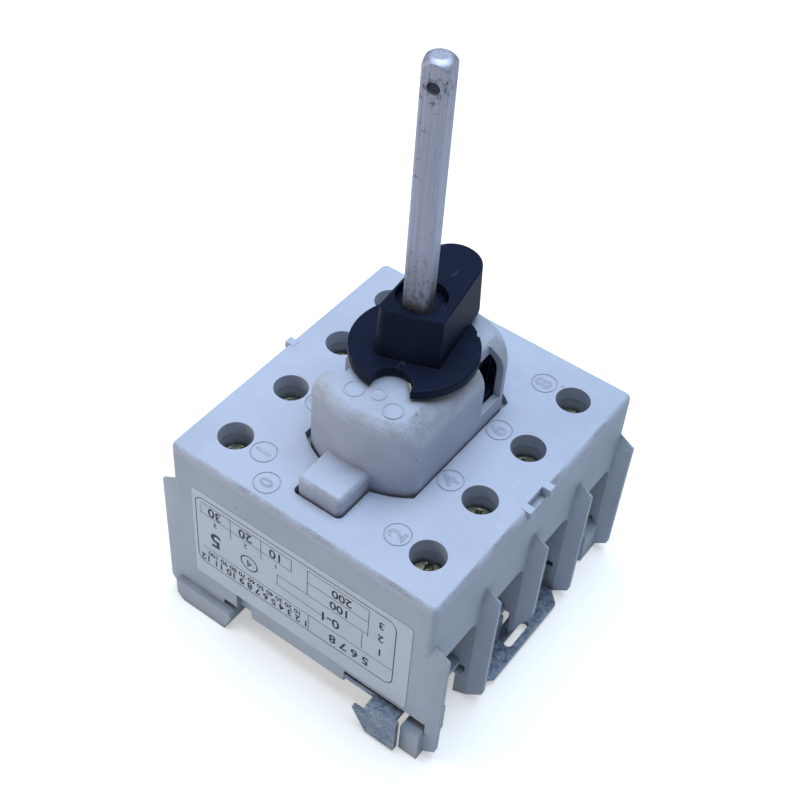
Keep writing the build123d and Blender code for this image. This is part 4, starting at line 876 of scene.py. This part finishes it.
@dataclass
class ScrewHeads:
    """Eight cheese-head screws, repeated by a node tree from one modelled head."""

    finishes: Finishes
    radius: float = 3.4 * MM
    top_z: float = 35.2 * MM
    height: float = 3.4 * MM
    shank_radius: float = 2.0 * MM
    shank_foot_z: float = 20.0 * MM
    column_x: float = 23.3 * MM
    slot_width: float = 1.1 * MM
    slot_depth: float = 1.5 * MM
    slot_wall_run: float = 0.22 * MM
    cross_reach: float = 2.3 * MM
    cross_widening: float = 1.5
    rim: float = 0.45 * MM
    tip_share: float = 0.75
    tip_bevel: float = 0.4 * MM
    turn_range: tuple[float, float] = (0.3, 1.9)
    rings: int = 34
    spokes: int = 96

    def recess(self, x: float, y: float) -> float:
        """Gives how deep the slot and cross are at a point of the head.

        Args:
            x: The point's place along the slot.
            y: The point's place across it.

        Returns:
            The share of the full depth, from 0 to 1.
        """
        def soft(distance: float, half: float) -> float:
            """Gives 1 inside a band and 0 outside it, with a short slope between.

            Args:
                distance: How far the point is from the band's middle.
                half: Half the band's width.

            Returns:
                The share, from 0 to 1.
            """
            t = (half - abs(distance)) / self.slot_wall_run + 0.5
            t = max(0.0, min(1.0, t))
            return t * t * (3.0 - 2.0 * t)

        half = self.slot_width / 2
        across = soft(x, half) * soft(y, self.cross_reach)
        along = soft(y, half * self.cross_widening) * soft(x, self.cross_reach)
        return max(soft(y, half), across, along)

    def circle(self, work: bmesh.types.BMesh, radius: float, z: float) -> list[bmesh.types.BMVert]:
        """Adds a ring of points round the axis and returns them."""
        angles = [2 * math.pi * spoke / self.spokes for spoke in range(self.spokes)]
        return [work.verts.new((radius * math.cos(a), radius * math.sin(a), z)) for a in angles]

    def head(self) -> bpy.types.Object:
        """Models one screw on the axis, with its head's top at z = 0.

        Returns:
            The modelled screw.
        """
        work = bmesh.new()
        rows: list[list[bmesh.types.BMVert]] = []
        for ring in range(1, self.rings + 1):
            r = self.radius * ring / self.rings
            fall = max(0.0, r - (self.radius - self.rim))
            crown = math.sqrt(max(0.0, self.rim ** 2 - fall ** 2)) - self.rim
            row = []
            for spoke in range(self.spokes):
                angle = 2 * math.pi * spoke / self.spokes
                x, y = r * math.cos(angle), r * math.sin(angle)
                z = crown - self.slot_depth * self.recess(x, y)
                row.append(work.verts.new((x, y, max(z, -self.slot_depth))))
            rows.append(row)
        centre = work.verts.new((0, 0, -self.slot_depth))
        foot = self.shank_foot_z - self.top_z
        for r, z in ((self.radius, -self.height), (self.shank_radius, -self.height),
                     (self.shank_radius, foot + self.tip_bevel),
                     (self.shank_radius * self.tip_share, foot)):
            rows.append(self.circle(work, r, z))
        for s in range(self.spokes):
            n = (s + 1) % self.spokes
            work.faces.new((centre, rows[0][s], rows[0][n]))
            for inner, outer in zip(rows, rows[1:]):
                work.faces.new((inner[s], outer[s], outer[n], inner[n]))
        work.faces.new(list(reversed(rows[-1])))
        bmesh.ops.recalc_face_normals(work, faces=work.faces)
        mesh = mesh_from("screw_master", work)
        mesh.shade_smooth()
        mesh.set_sharp_from_angle(angle=math.radians(40.0))
        return new_piece("screw_master", mesh)

    def tree(self, master: bpy.types.Object) -> bpy.types.NodeTree:
        """Builds the tree that sets the screws out in two rows along the rail.

        Args:
            master: The modelled screw.

        Returns:
            The geometry node tree, with named inputs for its sizes.
        """
        tree = bpy.data.node_groups.new("terminal_rows", "GeometryNodeTree")
        tree.interface.new_socket("Geometry", in_out="INPUT", socket_type="NodeSocketGeometry")
        for name in ("Pitch", "Column X", "Height"):
            tree.interface.new_socket(name, in_out="INPUT", socket_type="NodeSocketFloat")
        tree.interface.new_socket("Count", in_out="INPUT", socket_type="NodeSocketInt")
        tree.interface.new_socket("Geometry", in_out="OUTPUT", socket_type="NodeSocketGeometry")
        g = Graph(tree)
        given = g.node("NodeGroupInput")
        out = g.node("NodeGroupOutput")
        gaps = g.math("SUBTRACT", given.outputs["Count"], 1.0)
        length = g.math("MULTIPLY", gaps, given.outputs["Pitch"])
        width = g.math("MULTIPLY", given.outputs["Column X"], 2.0)
        grid = g.node("GeometryNodeMeshGrid", Size_X=width, Size_Y=length,
                      Vertices_X=2, Vertices_Y=given.outputs["Count"])
        lift = g.node("ShaderNodeCombineXYZ", Z=given.outputs["Height"])
        raised = g.node("GeometryNodeTransform", Geometry=grid.outputs["Mesh"],
                        Translation=lift.outputs[0])
        info = g.node("GeometryNodeObjectInfo", Object=master)
        angle = g.node("FunctionNodeRandomValue", {"data_type": "FLOAT"}, Seed=7)
        angle.inputs[2].default_value, angle.inputs[3].default_value = self.turn_range
        turn = g.node("ShaderNodeCombineXYZ", Z=angle.outputs[1])
        copies = g.node("GeometryNodeInstanceOnPoints", Points=raised.outputs["Geometry"],
                        Instance=info.outputs["Geometry"])
        g.put(copies.inputs["Rotation"], turn.outputs[0])
        real = g.node("GeometryNodeRealizeInstances", Geometry=copies.outputs["Instances"])
        dressed = g.node("GeometryNodeSetMaterial", Geometry=real.outputs["Geometry"],
                         Material=self.finishes.materials[Slot.SCREW])
        g.put(out.inputs["Geometry"], dressed.outputs["Geometry"])
        return tree

    def build(self) -> bpy.types.Object:
        """Sets out the eight screws, which stand for the CAD node.

        Returns:
            The screws as one piece.
        """
        master = self.head()
        tree = self.tree(master)
        carrier = new_piece("screw_rows", bpy.data.meshes.new("screw_rows"))
        modifier = carrier.modifiers.new("rows", "NODES")
        modifier.node_group = tree
        values = {"Pitch": POLE_PITCH, "Column X": self.column_x, "Height": self.top_z,
                  "Count": POLES}
        for item in tree.interface.items_tree:
            if item.in_out == "INPUT" and item.name in values:
                modifier[item.identifier] = values[item.name]
        piece = baked("terminal_screw_heads", carrier)
        bpy.data.objects.remove(master)
        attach(piece, "housing")
        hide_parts("terminal_screws")
        LOG.info("terminal screws: %d faces", len(piece.data.polygons))
        return piece


@dataclass
class MouldedMarks:
    """Raised outlined terminal numbers on the lid, with their tops towards -X."""

    finishes: Finishes
    top_z: float = 41.0 * MM
    size: float = 5.0 * MM
    line_radius: float = 0.13 * MM
    right_x: float = 16.1 * MM
    left_x: float = -16.3 * MM
    offset_y: float = 0.25 * MM
    spare_place: tuple[float, float] = (-10.8 * MM, -30.9 * MM)
    spare_share: float = 0.8

    def digit(self, text: str, x: float, y: float, size: float) -> bpy.types.Object:
        """Makes one character's raised outline.

        Args:
            text: The character.
            x: Its middle's X on the lid.
            y: Its middle's Y on the lid.
            size: The size of the type.

        Returns:
            The outline's mesh piece.
        """
        place = Matrix.Translation((x, y, self.top_z)) @ Matrix.Rotation(math.pi / 2, 4, "Z")
        return lettering(text, size, place, {"fill_mode": "NONE", "bevel_depth": self.line_radius,
                                             "bevel_resolution": 1, "resolution_u": 6})

    def build(self) -> bpy.types.Object:
        """Makes all the numbers on the lid.

        Returns:
            The numbers as one piece.
        """
        parts = []
        for pole in range(POLES):
            y = (pole - (POLES - 1) / 2) * POLE_PITCH + self.offset_y
            parts.append(self.digit(str(2 * pole + 1), self.left_x, y, self.size))
            parts.append(self.digit(str(2 * pole + 2), self.right_x, y, self.size))
        parts.append(self.digit("0", *self.spare_place, self.size * self.spare_share))
        piece = joined("terminal_numbers", parts)
        self.finishes.dress(piece, Slot.LID)
        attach(piece, "housing")
        return piece


@dataclass(frozen=True)
class Printed:
    """A plain number on the label; its place and size are in millimetres.

    The last field says how far the outline swells, as a share of the size.
    """

    text: str
    x: float
    z: float
    size: float
    bold: float = 0.02


LABEL_RULES = (
    ((-24.5, 25.8), (-24.5, 29.0), (-1.2, 29.0)),
    ((-24.5, 25.8), (-1.2, 25.4)),
    ((-16.8, 23.0), (-16.8, 29.0)),
    ((-8.9, 23.0), (-8.9, 29.0)),
    ((-1.2, 25.4), (-1.2, 29.0)),
    ((2.8, 21.4), (2.8, 29.2)),
    ((17.7, 20.7), (17.7, 29.2)),
    ((2.8, 29.2), (17.7, 29.2)),
    ((2.8, 25.4), (17.7, 25.4)),
    ((-4.8, 21.4), (17.7, 21.4)),
    ((-4.8, 18.2), (-4.8, 21.4)),
    ((-4.8, 18.2), (8.0, 17.6)),
    ((16.4, 15.6), (16.4, 21.0)),
    ((-24.6, 14.9), (24.0, 14.9)),
    ((3.2, 9.8), (3.2, 14.9)),
)
LABEL_NUMBERS = (
    Printed("30", -20.9, 27.4, 3.5),
    Printed("20", -12.9, 27.3, 3.5),
    Printed("10", -5.1, 27.2, 3.5),
    Printed("3", -20.9, 24.1, 1.9),
    Printed("2", -12.9, 24.0, 1.9),
    Printed("1", -5.1, 23.9, 1.9),
    Printed("200", 11.2, 27.3, 3.3),
    Printed("100", 10.8, 23.4, 3.3),
    Printed("0-1", 8.4, 17.9, 3.8),
    Printed("3", 20.7, 27.0, 3.0),
    Printed("2", 20.7, 22.8, 3.0),
    Printed("1", 20.7, 18.2, 3.0),
    Printed("10 20 30 40 50 60 70 80 90 100", -10.9, 13.5, 1.9, 0.025),
    Printed("1 2 3 4 5 6 7 8 9 10 11 12", -11.0, 11.4, 2.7, 0.025),
    Printed("5 6 7 8", 13.4, 12.2, 3.5, 0.025),
    Printed("5", -21.0, 19.2, 6.0),
    Printed("4", -12.1, 18.9, 3.2, 0.0),
)


@dataclass
class LabelPrint:
    """A generic ruled table with plain numbers, printed upside down on the label.

    Places on the label, and its radii, are in millimetres.
    """

    finishes: Finishes
    face_y: float = -35.22 * MM
    ink: float = 0.012 * MM
    line: float = 0.16 * MM
    border: tuple[float, float, float, float] = (-25.9, 24.1, 9.6, 30.3)
    border_radius: float = 2.2
    border_widening: float = 1.4
    corner_steps: int = 8
    circle_place: tuple[float, float] = (-12.1, 18.9)
    circle_radius: float = 2.1
    circle_widening: float = 2.0
    circle_steps: int = 28

    def strip(self, work: bmesh.types.BMesh, points: Sequence[tuple[float, float]], width: float,
              closed: bool = False) -> None:
        """Adds a flat line of ink through points on the label's face.

        Args:
            work: The mesh being built.
            points: Places as X and Z, in millimetres.
            width: The line's width in metres.
            closed: Whether the line ends where it starts.
        """
        rails: list[tuple[bmesh.types.BMVert, bmesh.types.BMVert]] = []
        count = len(points)
        for i, (x, z) in enumerate(points):
            here = Vector((x, z)) * MM
            before = Vector(points[i - 1 if closed or i else 0]) * MM
            after = Vector(points[(i + 1) % count if closed or i < count - 1 else i]) * MM
            along = (after - before).normalized()
            side = Vector((-along.y, along.x)) * width / 2
            y = self.face_y - self.ink
            rails.append((work.verts.new((here.x + side.x, y, here.y + side.y)),
                          work.verts.new((here.x - side.x, y, here.y - side.y))))
        pairs = list(zip(rails, rails[1:] + rails[:1] if closed else rails[1:]))
        for (a, b), (c, d) in pairs:
            work.faces.new((a, c, d, b))

    def frame_line(self, work: bmesh.types.BMesh) -> None:
        """Adds the rounded border.

        Args:
            work: The mesh being built.
        """
        low_x, high_x, low_z, high_z = self.border
        r = self.border_radius
        points = []
        for corner, (cx, cz) in enumerate(((high_x - r, high_z - r), (low_x + r, high_z - r),
                                           (low_x + r, low_z + r), (high_x - r, low_z + r))):
            for step in range(self.corner_steps + 1):
                angle = math.pi / 2 * (corner + step / self.corner_steps)
                points.append((cx + r * math.cos(angle), cz + r * math.sin(angle)))
        self.strip(work, points, self.line * self.border_widening, closed=True)

    def circle(self, work: bmesh.types.BMesh) -> None:
        """Adds the circle round the number of poles.

        Args:
            work: The mesh being built.
        """
        x, z = self.circle_place
        angles = [2 * math.pi * step / self.circle_steps for step in range(self.circle_steps)]
        points = [(x + self.circle_radius * math.cos(turn), z + self.circle_radius * math.sin(turn))
                  for turn in angles]
        self.strip(work, points, self.line * self.circle_widening, closed=True)

    def number(self, entry: Printed) -> bpy.types.Object:
        """Makes a flat upside-down number on the label.

        Args:
            entry: What it says, and its place and size.

        Returns:
            The flat mesh piece.
        """
        upright = Matrix.Rotation(math.pi / 2, 4, "X")
        upside_down = Matrix.Rotation(math.pi, 4, "Y")
        spot = Matrix.Translation((entry.x * MM, self.face_y - self.ink, entry.z * MM))
        size = entry.size * MM
        return lettering(entry.text, size, spot @ upside_down @ upright,
                         {"offset": entry.bold * size})

    def build(self) -> bpy.types.Object:
        """Prints the border, the table's lines and its numbers.

        Returns:
            The print as one piece.
        """
        work = bmesh.new()
        self.frame_line(work)
        for points in LABEL_RULES:
            self.strip(work, points, self.line)
        self.circle(work)
        parts = [new_piece("label_lines", mesh_from("label_lines", work))]
        parts += [self.number(entry) for entry in LABEL_NUMBERS]
        piece = joined("label_print", parts)
        piece.data.materials.append(self.finishes.ink)
        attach(piece, "housing")
        LOG.info("label print: %d faces", len(piece.data.polygons))
        return piece


@dataclass
class NotchGlintFlake:
    """A thin pale flake, shaped as moulding flash, inside the coupling's front notch: it stands in
    for a bright glint there, a painted highlight.
    """

    finishes: Finishes
    centre: tuple[float, float] = (2.76 * MM, -11.06 * MM)
    radius: float = 3.45 * MM
    start: float = math.radians(22.0)
    stop: float = math.radians(62.0)
    low_z: float = 59.75 * MM
    high_z: float = 60.7 * MM
    thickness: float = 0.18 * MM
    end_share: float = 0.35
    steps: int = 14

    def build(self) -> bpy.types.Object:
        """Sweeps the flake along the notch's right wall, thinning to both ends.

        Returns:
            The flake.
        """
        work = bmesh.new()
        rows = []
        for step in range(self.steps + 1):
            share = step / self.steps
            angle = self.start + (self.stop - self.start) * share
            swell = self.end_share + (1.0 - self.end_share) * math.sin(math.pi * share)
            top = self.low_z + (self.high_z - self.low_z) * swell
            row = []
            for r, z in ((self.radius, self.low_z), (self.radius + self.thickness, self.low_z),
                         (self.radius + self.thickness, top), (self.radius, top)):
                row.append(work.verts.new((self.centre[0] + r * math.cos(angle),
                                           self.centre[1] + r * math.sin(angle), z)))
            rows.append(row)
        for a, b in zip(rows, rows[1:]):
            for k in range(4):
                work.faces.new((a[k], a[(k + 1) % 4], b[(k + 1) % 4], b[k]))
        work.faces.new(rows[0])
        work.faces.new(list(reversed(rows[-1])))
        bmesh.ops.recalc_face_normals(work, faces=work.faces)
        # the pale flake is a painted highlight for the glint in the notch
        piece = new_piece("notch_flash", mesh_from("notch_flash", work))
        self.finishes.dress(piece, Slot.INNER)
        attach(piece, "spindle")
        return piece


@dataclass(frozen=True)
class Lamp:
    """A square soft lamp; its place and size are in metres, its power in watts."""

    name: str
    place: tuple[float, float, float]
    size: float
    watts: float
    colour: tuple[float, float, float]


LAMPS = (
    Lamp("overhead", (0.0, 0.06, 0.60), 0.50, 4.05, (0.68, 0.84, 1.0)),
    Lamp("front_left", (-0.52, -0.42, 0.22), 0.40, 1.42, (1.0, 0.88, 0.70)),
)


@dataclass
class Studio:
    """Pale floor, soft lamps, world and the camera at the photo's angle."""

    floor_z: float = -8.0 * MM
    camera_place: tuple[float, float, float] = (102.79 * MM, -161.99 * MM, 246.27 * MM)
    azimuth: float = math.radians(32.97)
    elevation: float = math.radians(46.25)
    roll: float = math.radians(4.80)
    focal_pixels: float = 1401.7
    sensor: float = 36.0
    nearest: float = 0.01
    aim: tuple[float, float, float] = (0.0, 0.0, 0.03)
    floor_half: float = 1.6
    near_reach: float = 0.35
    far_reach: float = 1.1
    near_glow: float = 0.42
    far_glow: float = 0.80
    sky: tuple[float, float, float, float] = (0.94, 0.97, 1.0, 1.0)
    sky_light: float = 0.16
    sky_seen: float = 1.05

    def camera(self) -> None:
        """Places the camera as the photo's was."""
        data = bpy.data.cameras.new("camera")
        data.sensor_width = self.sensor
        data.lens = self.focal_pixels * self.sensor / IMAGE_SIDE
        data.clip_start = self.nearest
        holder = bpy.data.objects.new("camera", data)
        bpy.context.scene.collection.objects.link(holder)
        turn = (Matrix.Rotation(self.azimuth, 4, "Z")
                @ Matrix.Rotation(math.pi / 2 - self.elevation, 4, "X")
                @ Matrix.Rotation(self.roll, 4, "Z"))
        holder.matrix_world = Matrix.Translation(self.camera_place) @ turn
        bpy.context.scene.camera = holder

    def lamp(self, lamp: Lamp) -> None:
        """Adds a lamp that points at the body.

        Args:
            lamp: Its place, size, power and colour.
        """
        data = bpy.data.lights.new(lamp.name, "AREA")
        data.size = lamp.size
        data.energy = lamp.watts
        data.color = lamp.colour
        holder = bpy.data.objects.new(lamp.name, data)
        bpy.context.scene.collection.objects.link(holder)
        way = Vector(self.aim) - Vector(lamp.place)
        holder.matrix_world = (Matrix.Translation(lamp.place)
                               @ way.to_track_quat("-Z", "Y").to_matrix().to_4x4())

    def floor(self) -> None:
        """Lays a pale floor that keeps the switch's shadow."""
        work = bmesh.new()
        bmesh.ops.create_grid(work, x_segments=4, y_segments=4, size=self.floor_half)
        mesh = mesh_from("floor", work)
        mesh.transform(Matrix.Translation((0.0, 0.0, self.floor_z)))
        piece = new_piece("floor", mesh)
        material, g, bsdf = shader("floor_paper")
        tone = g.spread(g.noise(g.place(), 30.0, 3.0, 0.5), 0.3, 0.7)
        g.put(bsdf.inputs["Base Color"], g.mix(tone, (0.88, 0.88, 0.88), (0.91, 0.91, 0.91)))
        bsdf.inputs["Roughness"].default_value = 0.9
        bsdf.inputs["Emission Color"].default_value = (1.0, 1.0, 1.0, 1.0)
        away = g.node("ShaderNodeVectorMath", {"operation": "LENGTH"})
        g.put(away.inputs[0], g.place())
        glow = g.spread(away.outputs["Value"], self.near_reach, self.far_reach, self.near_glow,
                        self.far_glow)
        rays = g.node("ShaderNodeLightPath")
        shown = g.math("MULTIPLY", rays.outputs["Is Camera Ray"], glow)
        g.put(bsdf.inputs["Emission Strength"], shown)
        mesh.materials.append(material)

    def world(self) -> None:
        """Sets a white surround for the camera and a softer one for the light."""
        world = bpy.data.worlds.new("studio")
        bpy.context.scene.world = world
        world.use_nodes = True
        g = Graph(world.node_tree)
        background = world.node_tree.nodes["Background"]
        background.inputs["Color"].default_value = self.sky
        rays = g.node("ShaderNodeLightPath")
        seen = g.math("MAXIMUM", rays.outputs["Is Camera Ray"], rays.outputs["Is Transmission Ray"])
        strength = g.spread(seen, 0.0, 1.0, self.sky_light, self.sky_seen)
        g.put(background.inputs["Strength"], strength)

    def build(self) -> None:
        """Builds the studio."""
        self.camera()
        self.floor()
        self.world()
        for lamp in LAMPS:
            self.lamp(lamp)


SKINS: dict[str, tuple[str, Slot]] = {
    "base_housing": ("housing", Slot.HOUSING),
    "top_cover": ("housing", Slot.LID),
    "mechanism_cover": ("housing", Slot.COVER),
    "mechanism_frame": ("housing", Slot.BLACK),
    "shaft_coupling": ("spindle", Slot.BLACK),
    "extension_shaft": ("spindle", Slot.ALUMINIUM),
    "rail_clip": ("rail_clip", Slot.ZINC),
    "drive_spindle": ("spindle", Slot.INNER),
}


def main() -> None:
    """Builds every piece in order, and logs the face counts of the skins, the screws and the label
    print.
    """
    logging.basicConfig(level=logging.INFO, format="%(name)s: %(message)s")
    finishes = Finishes(EffectGroups())
    slots = {slot.value: slot for slot in Slot}
    for part in frame["record"]["subparts"]:
        finishes.dress(frame["nodes"][part["node"]], slots[part["material_slot"]])
    skins = SmoothSkins(finishes)
    for node, (body, slot) in SKINS.items():
        skins.build(node, body, slot)
    ScrewHeads(finishes).build()
    MouldedMarks(finishes).build()
    LabelPrint(finishes).build()
    NotchGlintFlake(finishes).build()
    Studio().build()
    bpy.context.scene.view_settings.view_transform = "Standard"
    LOG.info("sizes written")


if __name__ == "__main__":
    main()
